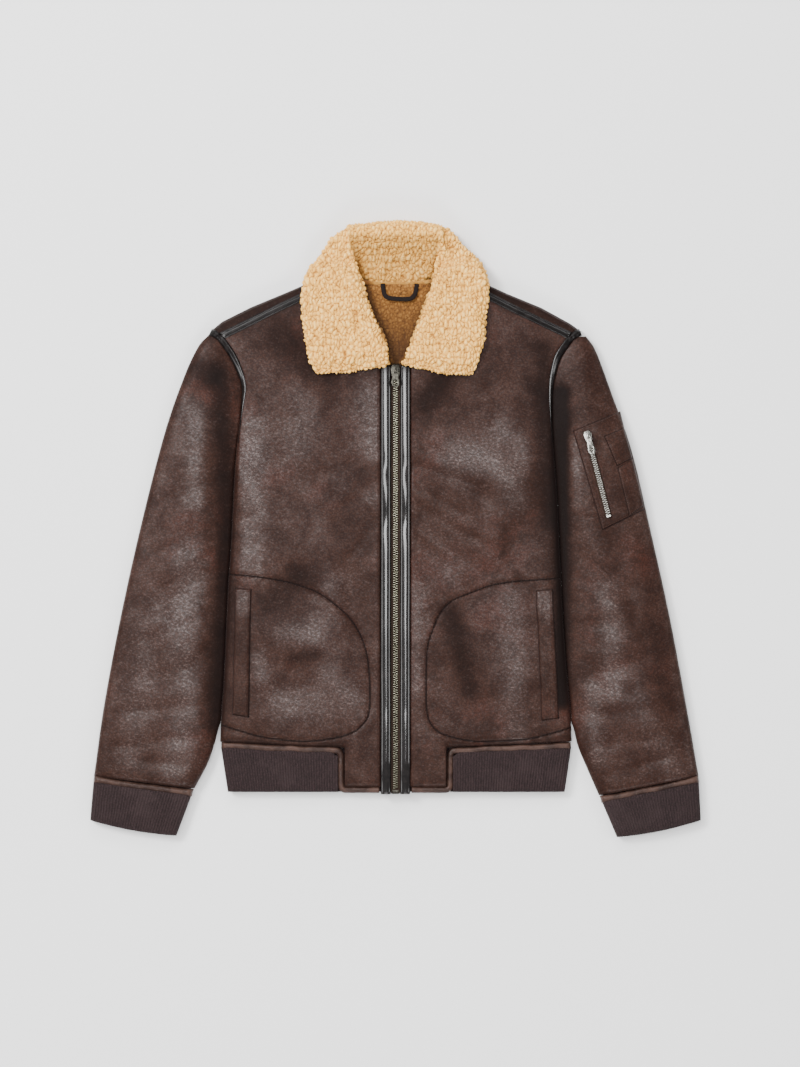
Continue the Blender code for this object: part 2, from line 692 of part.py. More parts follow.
def cuff(side):
    name = SIDE_NAMES[side]
    width = (cuff_spot(side, 0, 0) - cuff_spot(side, 1, 0)).length
    welt_from = 0.012
    welt_to = 0.155
    for layer, base in (("", UPPER_BASE), ("_under", LAYER_TOP)):
        rows = []
        for down in (welt_from, between(welt_from, welt_to, 0.12), between(welt_from, welt_to, 0.5),
                     between(welt_from, welt_to, 0.88), welt_to):
            row = []
            for across in UNDER_SHARES:
                spot = cuff_spot(side, across, down)
                edge = min(across, 1 - across) * width
                middle = 1 - abs(down - (welt_from + welt_to) / 2) / (welt_to - welt_from) * 2
                if layer:
                    spot.z = under_height(edge)
                else:
                    round_top = 3.0 + 5.2 * math.sqrt(max(0.0, 1 - (1 - middle) ** 2))
                    spot.z = base + min(round_top, RIM + fold(edge, 12, 8.2))
                row.append(spot)
            rows.append(row)
        slab("cuff_welt_" + name + layer, rows, base, "roll")
    rows = []
    for down in (welt_to + 0.006, 0.9, 1.0):
        row = []
        for n in range(2 * CUFF_RIBS + 1):
            across = n / (2 * CUFF_RIBS)
            spot = cuff_spot(side, across, down)
            edge = min(across, 1 - across) * width
            ridge = RIB_DEPTH / 2 if n % 2 else -RIB_DEPTH / 2
            rounded = 2.4 - fold((1 - down) * 60, 7, 2.4)
            spot.z = UPPER_BASE + max(RIM + 0.4 + fold(edge, 14, 6.6) - rounded + ridge, RIM)
            row.append(spot)
        rows.append(row)
    slab("cuff_rib_" + name, rows, UPPER_BASE, "rib")
    rows = []
    for down in (welt_to + 0.006, 0.5, 1.0):
        row = []
        for across in UNDER_SHARES:
            spot = cuff_spot(side, across, down)
            spot.z = under_height(min(across, 1 - across) * width)
            row.append(spot)
        rows.append(row)
    slab("cuff_rib_" + name + "_under", rows, LAYER_TOP, "rib")


# ---------------------------------------------------------------- neck: lining, collar, loop
def lining():
    """The back's pile lining where it shows in the neck."""
    rows = []
    for up in evenly(11):
        y = between(214.5, 319.6, up)
        span = [neck_edge_x(side, y) - mirror_sign(side) * 0.8 for side in "LR"]
        row = []
        for across in (0.0, 0.05, 0.16, 0.32, 0.5, 0.68, 0.84, 0.95, 1.0):
            x = between(*span, across)
            side_rise = 5.6 * smooth(0.28, 0.03, min(across, 1 - across))
            foot_rise = 3.0 * smooth(260, 218, y)
            edge = min(across, 1 - across) * abs(span[1] - span[0])
            rounded = 1.0 - fold(edge, 3, 1.0)
            z = UPPER_BASE + 4.4 + max(side_rise, foot_rise) - rounded
            row.append(Vector((x, y, z)))
        rows.append(row)
    return slab("back_neck_lining", rows, UPPER_BASE, "lining")


COLLAR_EDGE = {         # outer edge of a leaf, from its point up to the back of the neck
    "L": ((-103, 202), (-111, 219), (-116, 241), (-119, 262), (-121, 283), (-122.5, 304),
          (-119, 324), (-102, 353), (-80, 380), (-54, 395), (-36, 397)),
    "R": ((100, 200), (107, 213), (113, 239), (117, 270), (120, 300), (120.5, 317), (115, 339),
          (94, 363), (74, 386), (54, 395), (36, 397)),
}
COLLAR_ROLL = {         # the roll, from the top of the zip up to the back of the neck
    "L": ((-8, 214), (-14, 246), (-25, 272), (-38, 302), (-46, 328), (-54, 350), (-58, 368), (-38, 382)),
    "R": ((8, 214), (20, 241), (28, 266), (38, 293), (47, 318), (54, 350), (57, 368), (38, 382)),
}
LEAF_THICKNESS = 10.0
LEAF_COLUMNS = ((0.0, 0.45), (0.03, 0.75), (0.12, 0.97), (0.45, 1.04), (0.70, 1.2),
                (0.88, 1.28), (0.97, 0.95), (1.0, 0.5))      # share across, thickness


def collar_leaf(side, ground):
    shares = evenly(15)
    outer = along(COLLAR_EDGE[side], shares)
    roll = along(COLLAR_ROLL[side], shares)
    upper = []
    under = []
    for k, share in enumerate(shares):
        top = []
        low = []
        end = fold(min(share * 200, 60), 7, 1.0)
        for across, thickness in LEAF_COLUMNS:
            spot = between(outer[k], roll[k], across)
            spot.y -= 3.5 * math.sin(math.pi * across) * (1 - smooth(0.0, 0.25, share))
            rest = max(ground.near(spot.x, spot.y, radius) for radius in (3.0, 9.0, 15.0, 22.0))
            if spot.y > 350:
                rest = between(rest, 14.0, smooth(350, 385, spot.y))
            low.append(Vector((spot.x, spot.y, rest + 1.0)))
            grown = 1 + (thickness - 1) * (smooth(0.0, 0.5, share) if across > 0.5 else 1.0)
            top.append(Vector((spot.x, spot.y, rest + 1.0 + LEAF_THICKNESS * grown * (0.5 + 0.5 * end))))
        upper.append(top)
        under.append(low)
    return wall("collar_leaf_" + side, upper, under, "pile")


def collar(ground):
    """Stand and both leaves in one: the stand rolls over at the top edge of the neck."""
    profile = ((0.0, 15.0), (0.3, 19.5), (0.55, 25.5), (0.78, 31.5), (0.90, 31.0), (0.98, 24.0),
               (1.0, 14.0))       # share up from the seam, height
    upper = []
    under = []
    for share, height in profile:
        top = []
        low = []
        for across in evenly(11):
            x = between(-60.5, 60.5, across)
            seam = neck_y(x) + 0.8
            brim = 400.0 - 5.0 * (x / 60) ** 2
            y = between(seam, brim, share)
            top.append(Vector((x, y, height)))
            low.append(Vector((x, y, 10.0 - fold(brim - y, 12, 10.0) if share > 0.5 else 0.0)))
        upper.append(top)
        under.append(low)
    made = wall("collar", upper, under, "pile")
    for side in "LR":
        cut(made, to_cutters(collar_leaf(side, ground)), "UNION")
    return made


def ribbon(name, middle, half_width, thickness, kind):
    """A flat band of even width along points that carry their own height."""
    outer = []
    inner = []
    count = len(middle)
    for k, point in enumerate(middle):
        ahead = middle[min(k + 1, count - 1)] - middle[max(k - 1, 0)]
        across = Vector((-ahead.y, ahead.x, 0.0)).normalized()
        inner.append([point + across * half_width * s for s in (-1, 0, 1)])
        outer.append([p + Vector((0, 0, thickness)) for p in inner[-1]])
    return wall(name, outer, inner, kind)


def hanger_loop():
    """A strap sewn into the neck seam at both ends, standing a little off the lining."""
    route = ((-16, 319.4, 15.6), (-15.4, 311, 17.4), (-13.4, 303.5, 18.4), (-7, 299.6, 18.8),
             (6, 299, 18.8), (18, 299.8, 18.8), (24.2, 304, 18.4), (26, 311.5, 17.4),
             (26.6, 319.6, 15.6))
    return ribbon("hanger_loop", along(route, evenly(15)), 2.9, 1.7, "loop")


# ---------------------------------------------------------------- the front zip
ZIP_TOP = 213.0
ZIP_END = -344.0
SLIDER_Y = 206.0
ZIP_ROWS = 20
FRONT_PULL = 21.5       # length of the pull below its pivot
SLIDER_THICKNESS = 2.2
PIVOT_RISE = 1.3        # a pull's crossbar above the slider's top plate


def zip_rows(columns, low, high, count):
    """Rows down the zip; columns are pairs of x and height above the cloth beside it."""
    rows = []
    for share in evenly(count):
        y = between(high, low, share)
        rows.append([Vector((x, y, centre_level(y) + lift)) for x, lift in columns])
    return rows


def placket(side):
    s = mirror_sign(side)
    inner = TAPE_HALF + SEAM_GAP
    outer = ZIP_HALF - SEAM_GAP / 2
    columns = [(s * between(inner, outer, share), lift) for share, lift in
               ((0.0, -1.2), (0.12, 0.4), (0.45, 1.3), (0.85, 0.3), (1.0, -1.2))]
    rows = zip_rows(columns, ZIP_END, ZIP_TOP, ZIP_ROWS)
    return slab("zip_placket_" + SIDE_NAMES[side], rows, UPPER_BASE, "piping")


def zip_tape():
    top = zip_rows([(x * TAPE_HALF, -3.0) for x in (-1, 0, 1)], ZIP_END + 1, ZIP_TOP, ZIP_ROWS)
    low = zip_rows([(x * TAPE_HALF, -5.2) for x in (-1, 0, 1)], ZIP_END + 1, ZIP_TOP, ZIP_ROWS)
    return wall("zip_tape", top, low, "tape")


def zip_chain():
    shape = ((-1, -0.9), (-0.7, -0.2), (0.7, -0.2), (1, -0.9))
    top = zip_rows([(x * CHAIN_HALF, lift) for x, lift in shape], -337.5, 200.0, ZIP_ROWS)
    low = zip_rows([(x * CHAIN_HALF, -2.4) for x, lift in shape], -337.5, 200.0, ZIP_ROWS)
    return wall("zip_chain", top, low, "metal")


def plate(name, outline, low, high, kind):
    """A flat outline given a thickness, in its own frame."""
    bm = bmesh.new()
    face = bm.faces.new([bm.verts.new((x, y, low)) for x, y in outline])
    risen = bmesh.ops.extrude_face_region(bm, geom=[face])["geom"]
    top = [v for v in risen if isinstance(v, bmesh.types.BMVert)]
    bmesh.ops.translate(bm, verts=top, vec=(0, 0, high - low))
    return finish_object(name, bm, kind, round_shading=False)


def oval(half_x, half_y, x=0.0, y=0.0, count=20):
    turn = [2 * math.pi * k / count for k in range(count)]
    return [(x + half_x * math.cos(a), y + half_y * math.sin(a)) for a in turn]


def box_outline(x0, y0, x1, y1):
    return [(x0, y0), (x1, y0), (x1, y1), (x0, y1)]


def placed(piece, place):
    piece.matrix_world = place
    return piece


def slider_and_pull(prefix, place, size, pull_length, kind):
    """A slider whose bridge holds the pull's crossbar; both in a frame whose origin is the pivot."""
    half_w, length = size
    arch_half = 1.3
    leg = (1.9, 3.4)
    body = [(-half_w * 0.62, length / 2), (-half_w, length * 0.18), (-half_w * 0.8, -length / 2),
            (half_w * 0.8, -length / 2), (half_w, length * 0.18), (half_w * 0.62, length / 2)]
    slider = plate(prefix + "_slider", body, -PIVOT_RISE - SLIDER_THICKNESS, -PIVOT_RISE, kind)
    bridge = plate(prefix + "_bridge_blank", box_outline(-arch_half, -leg[1], arch_half, leg[1]),
                   -PIVOT_RISE - 0.6, PIVOT_RISE + 1.1, kind)
    passage = plate(prefix + "_bridge_passage", box_outline(-half_w, -leg[0], half_w, leg[0]),
                    -PIVOT_RISE + 0.001, PIVOT_RISE, kind)
    cut(bridge, to_cutters(passage), "DIFFERENCE")
    cut(slider, to_cutters(bridge), "UNION")
    wide = half_w * 0.92
    side = [(2.9, 0.75), (3.1, -4.6), (wide * 0.8, -0.55 * pull_length), (wide, -0.74 * pull_length),
            (wide * 0.8, -0.91 * pull_length), (wide * 0.35, -pull_length)]
    outline = side + [(-x, y) for x, y in reversed(side)]
    pull = plate(prefix + "_pull", outline, -0.7, 0.7, kind)
    window = plate(prefix + "_pull_window", box_outline(-2.0, -5.2, 2.0, -0.7), -3, 3, kind)
    ring = plate(prefix + "_pull_hole", oval(wide * 0.5, pull_length * 0.14, 0, -0.74 * pull_length),
                 -3, 3, kind)
    for cutter in (window, ring):
        cut(pull, to_cutters(placed(cutter, place)), "DIFFERENCE")
    for piece in (slider, bridge, passage, pull):
        placed(piece, place)
    return slider, pull


def front_zip():
    """The zip with its leather edges, closed to its top; gives back the two leather edges."""
    plackets = [placket("L"), placket("R")]
    zip_tape()
    zip_chain()
    top = max(centre_level(y) for y in (198, 206, 214)) + 0.2
    place = Matrix.Translation(Vector((0, SLIDER_Y, top + SLIDER_THICKNESS + PIVOT_RISE)) * MM)
    slider_and_pull("front_zip", place, (6.2, 15.0), FRONT_PULL, "metal")
    stop_z = centre_level(-340)
    bm = bmesh.new()
    bmesh.ops.create_cube(bm, size=1.0)
    bmesh.ops.scale(bm, vec=(8.5, 5.0, 2.6), verts=bm.verts[:])
    bmesh.ops.translate(bm, vec=(0, -340.8, stop_z - 1.1), verts=bm.verts[:])
    finish_object("front_zip_stop", bm, "metal", round_shading=False)
    return plackets


# ---------------------------------------------------------------- tapes over the seams
def shoulder_tape(side, ground):
    s = mirror_sign(side)
    start = Vector((s * 219.0, 254.6, 0))
    end = Vector((s * 106.0, 309.6, 0))
    middle = [between(start, end, share) for share in evenly(11)]
    return strap("shoulder_tape_" + SIDE_NAMES[side], middle, [4.3] * 11, 1.7, ground, "piping")


SHOULDER_TIP = ((232.5, 251.6), (237.0, 254.0))   # where the armhole tape ends, over the shoulder's corner


def armhole_tape(side, ground):
    s = mirror_sign(side)
    knots = [tuple(point)[:2] for point in side_points(side) if 118 < point.y < 248]
    knots += [(s * x, y) for x, y in SHOULDER_TIP]
    line = along(knots, evenly(15))
    half = [between(0.9, 4.2, smooth(0.0, 0.7, share)) for share in evenly(15)]
    middle = [point + Vector((-s * 1.2, 0, 0)) for point in line]
    return strap("armhole_tape_" + SIDE_NAMES[side], middle, half, 1.8, ground, "piping", lift=0.45)


# ---------------------------------------------------------------- the pocket on the left sleeve
PATCH_INNER = ((230, 128), (249, 64), (268, -1))
PATCH_OUTER = ((290, 152), (304, 92), (318, 28))
SLEEVE_ZIP = ((249, 121), (276, 17))
SLEEVE_PULL = 25        # length of the pull below its pivot
FLAP = ((270, 121), (294, 131), (306, 94), (287, 82))        # inner top, outer top, outer end, inner end
PEN_POCKET = ((287.5, 80), (306.5, 92), (317, 31), (303, 17))


def laid_patch(name, inner_edge, outer_edge, rows, columns, thickness, ground, kind, lift=SEAM_GAP):
    """A flat piece between two edges, lying on what is under it."""
    inner_points = along(inner_edge, evenly(rows))
    outer_points = along(outer_edge, evenly(rows))
    top = []
    low = []
    for a, b in zip(inner_points, outer_points):
        top_row = []
        low_row = []
        for share in evenly(columns):
            spot = between(a, b, share)
            rest = ground.near(spot.x, spot.y, 3.0) + lift
            low_row.append(Vector((spot.x, spot.y, rest)))
            top_row.append(Vector((spot.x, spot.y, rest + thickness)))
        top.append(top_row)
        low.append(low_row)
    return wall(name, top, low, kind)


def sleeve_pocket(upper_sleeve):
    on_sleeve = Ground(upper_sleeve)
    patch = laid_patch("sleeve_patch", PATCH_INNER, PATCH_OUTER, 10, 7, 1.5, on_sleeve, "leather")
    on_patch = Ground(patch)
    laid_patch("sleeve_pen_flap", (FLAP[0], FLAP[3]), (FLAP[1], FLAP[2]), 5, 4, 1.3, on_patch, "leather")
    laid_patch("sleeve_pen_pocket", (PEN_POCKET[0], PEN_POCKET[3]), (PEN_POCKET[1], PEN_POCKET[2]), 6, 3,
               1.3, on_patch, "leather")
    top, bottom = (Vector((*p, 0.0)) for p in SLEEVE_ZIP)
    ahead = (bottom - top).normalized()
    across = Vector((-ahead.y, ahead.x, 0.0))
    chain_top = top + ahead * 5
    edges = [tuple(p)[:2] for p in (chain_top - across * 3.4, bottom - across * 3.4,
                                   chain_top + across * 3.4, bottom + across * 3.4)]
    chain = laid_patch("sleeve_zip_chain", edges[:2], edges[2:], 9, 3, 1.7, on_patch, "bright")
    on_chain = Ground(patch, chain)
    seat = max(on_chain.near(*(top + ahead * d + across * w).xy, 1.0)
               for d in range(-6, SLEEVE_PULL + 6, 6) for w in (-5, 0, 5)) + SEAM_GAP
    turn = math.atan2(across.y, across.x)
    pivot = Vector((top.x, top.y, seat + SLIDER_THICKNESS + PIVOT_RISE)) * MM
    place = Matrix.Translation(pivot) @ Matrix.Rotation(turn, 4, "Z")
    slider_and_pull("sleeve_zip", place, (5.2, 13.0), SLEEVE_PULL, "bright")


# ---------------------------------------------------------------- the whole jacket
back_panel = back()
fronts = {side: front(side) for side in "LR"}
sleeves = {side: sleeve(side)[0] for side in "LR"}
for side_key in "LR":
    pocket_panel(side_key, fronts[side_key])
    hem_welt(side_key)
    hem_rib(side_key)
    cuff(side_key)
    pocket_welt(side_key, Ground(fronts[side_key]))
hem_back("hem_welt_back", -276.6, BACK_RIB_TOP + SEAM_GAP, "roll")
hem_back("hem_rib_back", BACK_RIB_TOP, HEM_BOTTOM, "rib")
neck_lining = lining()
over_shoulders = []
for side_key in "LR":
    under_tapes = Ground(fronts[side_key], sleeves[side_key], back_panel)
    over_shoulders.append(armhole_tape(side_key, under_tapes))
    over_shoulders.append(shoulder_tape(side_key, under_tapes))
zip_edges = front_zip()
collar(Ground(back_panel, neck_lining, *fronts.values(), *over_shoulders, *zip_edges))
hanger_loop()
sleeve_pocket(sleeves["R"])
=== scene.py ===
"""Looks of the aviator jacket: worn brown suede, black leather strips, curly pile, ribs and zips.

The cloth pieces are fine shells on the form of their solids, lying as the photograph shows them.
Lengths here are millimetres in the garment's own frame, and metres once a mesh is made.
"""
import json
import math

import bmesh
import bpy
import numpy as np
from mathutils import Matrix, Vector
from mathutils.bvhtree import BVHTree

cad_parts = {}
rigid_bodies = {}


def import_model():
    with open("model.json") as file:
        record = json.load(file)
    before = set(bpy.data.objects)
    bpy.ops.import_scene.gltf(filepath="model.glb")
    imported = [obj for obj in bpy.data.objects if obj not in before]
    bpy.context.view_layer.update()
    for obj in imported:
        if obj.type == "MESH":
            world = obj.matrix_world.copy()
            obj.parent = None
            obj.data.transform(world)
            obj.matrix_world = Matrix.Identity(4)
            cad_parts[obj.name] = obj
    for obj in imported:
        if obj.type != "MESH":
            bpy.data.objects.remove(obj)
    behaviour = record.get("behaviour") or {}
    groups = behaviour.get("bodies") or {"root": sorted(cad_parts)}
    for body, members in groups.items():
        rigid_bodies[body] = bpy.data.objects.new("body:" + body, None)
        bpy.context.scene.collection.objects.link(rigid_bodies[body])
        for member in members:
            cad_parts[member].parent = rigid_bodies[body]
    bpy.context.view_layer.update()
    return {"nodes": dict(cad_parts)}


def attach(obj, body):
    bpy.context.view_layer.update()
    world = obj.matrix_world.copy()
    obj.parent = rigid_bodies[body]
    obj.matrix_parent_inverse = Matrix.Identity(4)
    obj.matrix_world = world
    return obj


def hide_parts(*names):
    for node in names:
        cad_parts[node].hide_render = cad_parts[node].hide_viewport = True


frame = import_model()
JACKET = "jacket"

# ------------------------------------------------------------------ the garment's sizes, in mm
MM = 0.001
UPPER_BASE = 9.9            # where the upper layer lies on the lower one
LEAST_RISE = 0.8            # how far cloth stands off that height at its very edge
FOLD_REACH = 15.0
CHEST_RISE = 11.5
SLEEVE_RISE = 13.0
ZIP_HALF = 19.2
TAPE_HALF = 6.0
TAB_HALF = 66.0
WELT_ROLL = 8.0
HEM_BOTTOM = -341.0
TAB_BOTTOM = HEM_BOTTOM + 6.8
ZIP_TOP = 213.0
ZIP_END = -344.0
FRONT_FOOT = -285.0         # where a front's inner edge begins, above its tab
FRONT_HEIGHT = 600.0        # along a front's rows, from the hem to the shoulder
HEM_AT_SIDE = -276.0
HEM_DROP = 9                # how much lower the hem is beside the tab
NECK_LENGTH = 126.0
NO_SEAM = -90.0             # the distance kept where no seam is near

# Knots of the edges seen from above, x and y. Side L is the wearer's right.
SIDE_EDGE = {
    "L": ((-228, -276), (-226, -231), (-223, -189), (-218, -79), (-214, -20), (-211, 42), (-208, 90)),
    "R": ((229, -275), (227, -229), (223, -189), (218, -118), (214, -40), (210, 45), (205, 110)),
}
ARMHOLE = {
    "L": ((-208, 90), (-203, 132), (-200, 162), (-198, 185), (-204, 207), (-214, 228), (-229, 249.5)),
    "R": ((205, 110), (203, 150), (203, 181), (206, 204), (213, 226), (229, 249.5)),
}
NECKLINE = {
    "L": ((-19.5, 213), (-31, 236), (-47, 275), (-61, 312), (-66, 329)),
    "R": ((19.5, 213), (30, 236), (46, 275), (60, 312), (66, 329)),
}
SLEEVE_OUTER = {
    "L": ((-242, 254), (-257, 237), (-276, 196), (-301, 123), (-331, 6), (-357, -111), (-379, -228),
          (-392, -320)),
    "R": ((248, 251), (261, 231), (281, 177), (307, 103), (330, 6), (356, -111), (378, -228),
          (394, -320)),
}
SLEEVE_FREE = {             # inner edge below the body, down to the cuff
    "L": ((-231, -262), (-238, -287), (-246, -308), (-261.5, -336.5)),
    "R": ((232.5, -262), (238, -284), (248, -308), (264.5, -345.5)),
}
POCKET_SEAM = {
    "L": ((-250, -57), (-209, -59), (-176, -62), (-142, -68), (-115, -76), (-97, -84), (-75, -100),
          (-57, -118), (-44, -140), (-37, -163), (-34, -185), (-33, -211), (-34, -237), (-40, -250),
          (-53, -262), (-75, -270), (-115, -275), (-164, -271), (-200, -262), (-250, -246)),
    "R": ((250, -62), (207, -64), (179, -66), (151, -68), (123, -73), (96, -83), (73, -93),
          (58, -109), (49, -129), (42, -151), (40, -185), (40, -214), (41, -237), (46, -252),
          (60, -265), (95, -274), (130, -275), (171, -272), (205, -264), (250, -250)),
}
# Broad ridges (rise over 0) and troughs, the same as in the solids: x1, y1, x2, y2, half width, rise
BROAD = (
    (-150, 250, -95, 120, 30, 2.2), (-190, 60, -150, -30, 26, 2.0), (-120, 60, -30, 10, 20, -1.8),
    (-70, -20, -15, 60, 22, 1.6), (-150, -130, -70, -200, 34, 2.4), (-60, -60, -25, -230, 16, -1.4),
    (90, 110, 150, 60, 34, 2.4), (20, 80, 110, 40, 16, -2.0), (25, 10, 110, -60, 18, -1.8),
    (40, 50, 130, -10, 20, 1.6), (90, -150, 150, -210, 34, 2.2), (200, 30, 150, -20, 20, -1.6),
    (-262, 90, -300, -120, 26, 2.4), (-300, -150, -330, -260, 30, 2.0), (-250, -60, -290, -90, 16, -2.0),
    (-240, -170, -300, -190, 14, -1.8), (245, 60, 275, -90, 24, 2.2), (290, -110, 330, -250, 30, 2.0),
    (240, -40, 300, -80, 16, -1.8), (250, -190, 320, -170, 14, -1.6),
)
# Finer creases laid where the photograph shows them
FINE = (
    (-22, 150, -70, 128, 7, -0.7), (-25, 95, -95, 72, 8, -0.9), (-25, 60, -80, 20, 7, -0.8),
    (-24, 10, -62, -40, 7, -0.8), (-24, -60, -45, -110, 6, -0.6), (-160, 30, -205, 10, 7, -0.8),
    (-170, -5, -208, -35, 7, -0.9), (-120, 150, -180, 120, 9, -0.7), (-185, 150, -150, 190, 8, -0.8),
    (22, 120, 60, 96, 6, -0.9), (24, 84, 105, 58, 6, -1.2), (24, 62, 90, 30, 6, -1.0),
    (24, 34, 120, -22, 7, -1.2), (24, 2, 80, -40, 6, -0.9), (26, -40, 58, -88, 6, -0.7),
    (130, 40, 200, 60, 7, -0.8), (150, 5, 208, -12, 7, -0.9), (120, 190, 190, 150, 9, -0.8),
    (-235, 60, -290, 40, 8, -0.9), (-240, 0, -310, -30, 8, -1.1), (-236, -30, -300, -76, 7, -0.9),
    (-238, -110, -320, -140, 8, -1.0), (-240, -150, -300, -210, 7, -1.0), (-250, -230, -350, -236, 9, -1.0),
    (-262, -270, -360, -282, 8, -1.1), (-275, -305, -340, -300, 6, -0.8), (235, 20, 290, 6, 7, -0.9),
    (232, -60, 310, -96, 8, -1.0), (238, -120, 330, -130, 8, -1.0), (242, -170, 300, -212, 7, -1.0),
    (250, -240, 350, -232, 9, -1.0), (262, -282, 360, -268, 8, -1.1), (275, -318, 350, -296, 6, -0.8),
)
# Where the suede is worn glossy and painted paler as highlight (over 0), and where it is rougher and painted
# darker as shade (under 0); the deepest, beside the body and under the collar, are painted shadow. As in
# FINE
WEAR_AND_PAINTED_LIGHT = (
    (-187, 129, -187, -46, 17, 1.0), (-85, -72, -101, -144, 18, 0.35), (-144, -228, -59, -222, 20, 1.0),
    (-33, 175, -30, 103, 18, 0.7), (-66, 51, -27, 38, 14, 0.5), (-124, 168, -124, 90, 20, 0.35),
    (-150, -138, -112, -132, 14, 0.6), (-178, -164, -174, -190, 10, 0.8),
    (-90, -188, -84, -214, 14, 0.7), (-136, -168, -104, -160, 9, -0.7), (77, 90, 155, 97, 22, 1.0),
    (136, 129, 162, 38, 18, 0.6), (21, -79, 24, -209, 14, 0.55), (149, -92, 155, -274, 18, 0.6),
    (70, -53, 74, -48, 14, 0.4), (-259, 150, -260, 38, 14, 0.75), (-264, 222, -252, 196, 16, -0.7),
    (-267, -40, -280, -170, 20, 0.9), (-267, -209, -287, -313, 18, 0.8),
    (-319, -118, -345, -300, 22, 0.5), (231, 112, 234, 30, 8, 0.6), (279, -79, 281, -209, 14, 0.9),
    (255, -209, 260, -300, 12, 0.7), (318, -222, 370, -326, 22, 0.4), (-150, 246, -85, 207, 28, -0.9),
    (-124, -59, -163, -92, 20, -0.8), (-72, -1, -40, 77, 16, -0.6), (40, 165, 62, 190, 26, -1.0),
    (71, -105, 97, -209, 16, -0.9), (194, 233, 198, 12, 18, -0.9), (-229, 206, -219, 10, 16, -1.15),
    (-219, -14, -233, -250, 15, -1.30), (216, 176, 215, -222, 12, -1.80),
    (-232, 262, -110, 320, 15, -1.0), (232, 262, 110, 320, 15, -1.0), (-70, -287, -215, -279, 9, -0.6),
    (70, -287, 215, -279, 9, -0.6), (331, -40, 345, -240, 16, -0.4), (120, 220, 180, 180, 24, -0.4),
)


# ------------------------------------------------------------------ curves, heights and noise
def run_along(line):
    """How far along a line of points each of them is."""
    return np.concatenate([[0], np.cumsum(np.linalg.norm(np.diff(line, axis=0), axis=1))])


def places_along(line, wanted):
    """The places at the wanted distances along a line of points."""
    run = run_along(line)
    return np.stack([np.interp(wanted, run, line[:, n]) for n in range(line.shape[1])], axis=1)


def curve_at(knots, shares):
    """Points at shares of the length of a smooth curve through the knots, as rows of x and y."""
    k = np.array(knots, float)
    k = np.vstack([2 * k[0] - k[1], k, 2 * k[-1] - k[-2]])
    t = np.linspace(0, 1, 25)[:-1, None]
    runs = []
    for a, b, c, d in zip(k, k[1:], k[2:], k[3:]):
        runs.append(0.5 * (2 * b + (c - a) * t + (2 * a - 5 * b + 4 * c - d) * t ** 2
                           + (3 * b - a - 3 * c + d) * t ** 3))
    fine = np.vstack([*runs, k[-2]])
    return places_along(fine, np.asarray(shares) * run_along(fine)[-1])


def smooth(low, high, value):
    t = np.clip((value - low) / (high - low), 0, 1)
    return t * t * (3 - 2 * t)


def rounding(distance, reach, rise, power=2.2):
    """Height of cloth that rounds up from a folded edge and then lies level."""
    t = np.clip(distance / reach, 0, 1)
    return rise * (1 - (1 - t) ** power) ** (1 / power)


def relief(x, y, table):
    """The sum of soft ridges and troughs along straight runs."""
    total = np.zeros_like(x)
    for x1, y1, x2, y2, half_width, rise in table:
        dx, dy = x2 - x1, y2 - y1
        share = np.clip(((x - x1) * dx + (y - y1) * dy) / (dx * dx + dy * dy), 0, 1)
        away = np.hypot(x - x1 - share * dx, y - y1 - share * dy) / half_width
        total += rise * np.exp(-away * away)
    return total


def mottle(x, y, scale, seed):
    """Smooth uneven noise from -1 to 1 with spots about scale across."""
    size = 64
    lattice = np.random.default_rng(seed).uniform(-1, 1, (size, size))
    u, v = x / scale + 1000, y / scale + 1000
    i, j = np.floor(u).astype(int), np.floor(v).astype(int)
    fu, fv = u - i, v - j
    fu, fv = fu * fu * (3 - 2 * fu), fv * fv * (3 - 2 * fv)
    a, b = lattice[i % size, j % size], lattice[(i + 1) % size, j % size]
    c, d = lattice[i % size, (j + 1) % size], lattice[(i + 1) % size, (j + 1) % size]
    return (a * (1 - fu) + b * fu) * (1 - fv) + (c * (1 - fu) + d * fu) * fv


def away_from(line, x, y):
    """Distance of each place from a line of points, and the length along it of the nearest place."""
    best = np.full(x.shape, 1e9)
    where = np.zeros(x.shape)
    run = 0.0
    for (x1, y1), (x2, y2) in zip(line, line[1:]):
        dx, dy = x2 - x1, y2 - y1
        length = math.hypot(dx, dy)
        share = np.clip(((x - x1) * dx + (y - y1) * dy) / (length * length), 0, 1)
        distance = np.hypot(x - x1 - share * dx, y - y1 - share * dy)
        nearer = distance < best
        best = np.where(nearer, distance, best)
        where = np.where(nearer, run + share * length, where)
        run += length
    return best, where


def inside(line, x, y):
    """Whether each place is inside a closed line of points."""
    within = np.zeros(x.shape, bool)
    ends = np.roll(line, -1, axis=0)
    for (x1, y1), (x2, y2) in zip(line, ends):
        crosses = (y1 > y) != (y2 > y)
        slope = (x2 - x1) / (y2 - y1 if y2 != y1 else 1e-9)
        within ^= crosses & (x < x1 + (y - y1) * slope)
    return within


def sign_of(side):
    return -1 if side == "L" else 1


SIDE_NAMES = {"L": "left", "R": "right"}
SEAM_LINE = {side: curve_at(POCKET_SEAM[side], np.linspace(0, 1, 150)) for side in "LR"}


# ------------------------------------------------------------------ meshes
def add(name, data):
    """A new object in the scene, made of a mesh, a light or a camera."""
    made = bpy.data.objects.new(name, data)
    bpy.context.scene.collection.objects.link(made)
    return made


def faces_of(bm):
    return [tuple(v.index for v in f.verts) for f in bm.faces]


def grid_points(x, y, z):
    """A grid's points as one list, row by row."""
    return np.stack([x, y, z], axis=2).reshape(-1, 3)


def make_piece(name, points, faces, slot, look, node=None, flat=False):
    """An object from points in millimetres, riding on the jacket and standing for the nodes named."""
    mesh = bpy.data.meshes.new(name)
    mesh.from_pydata((np.asarray(points, float) * MM).tolist(), [], faces)
    mesh.update()
    if not flat:
        mesh.shade_smooth()
    piece = add(name, mesh)
    mesh.materials.append(look)
    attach(piece, JACKET)
    if node is not None:
        nodes = (node,) if isinstance(node, str) else node
        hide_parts(*nodes)
    return piece


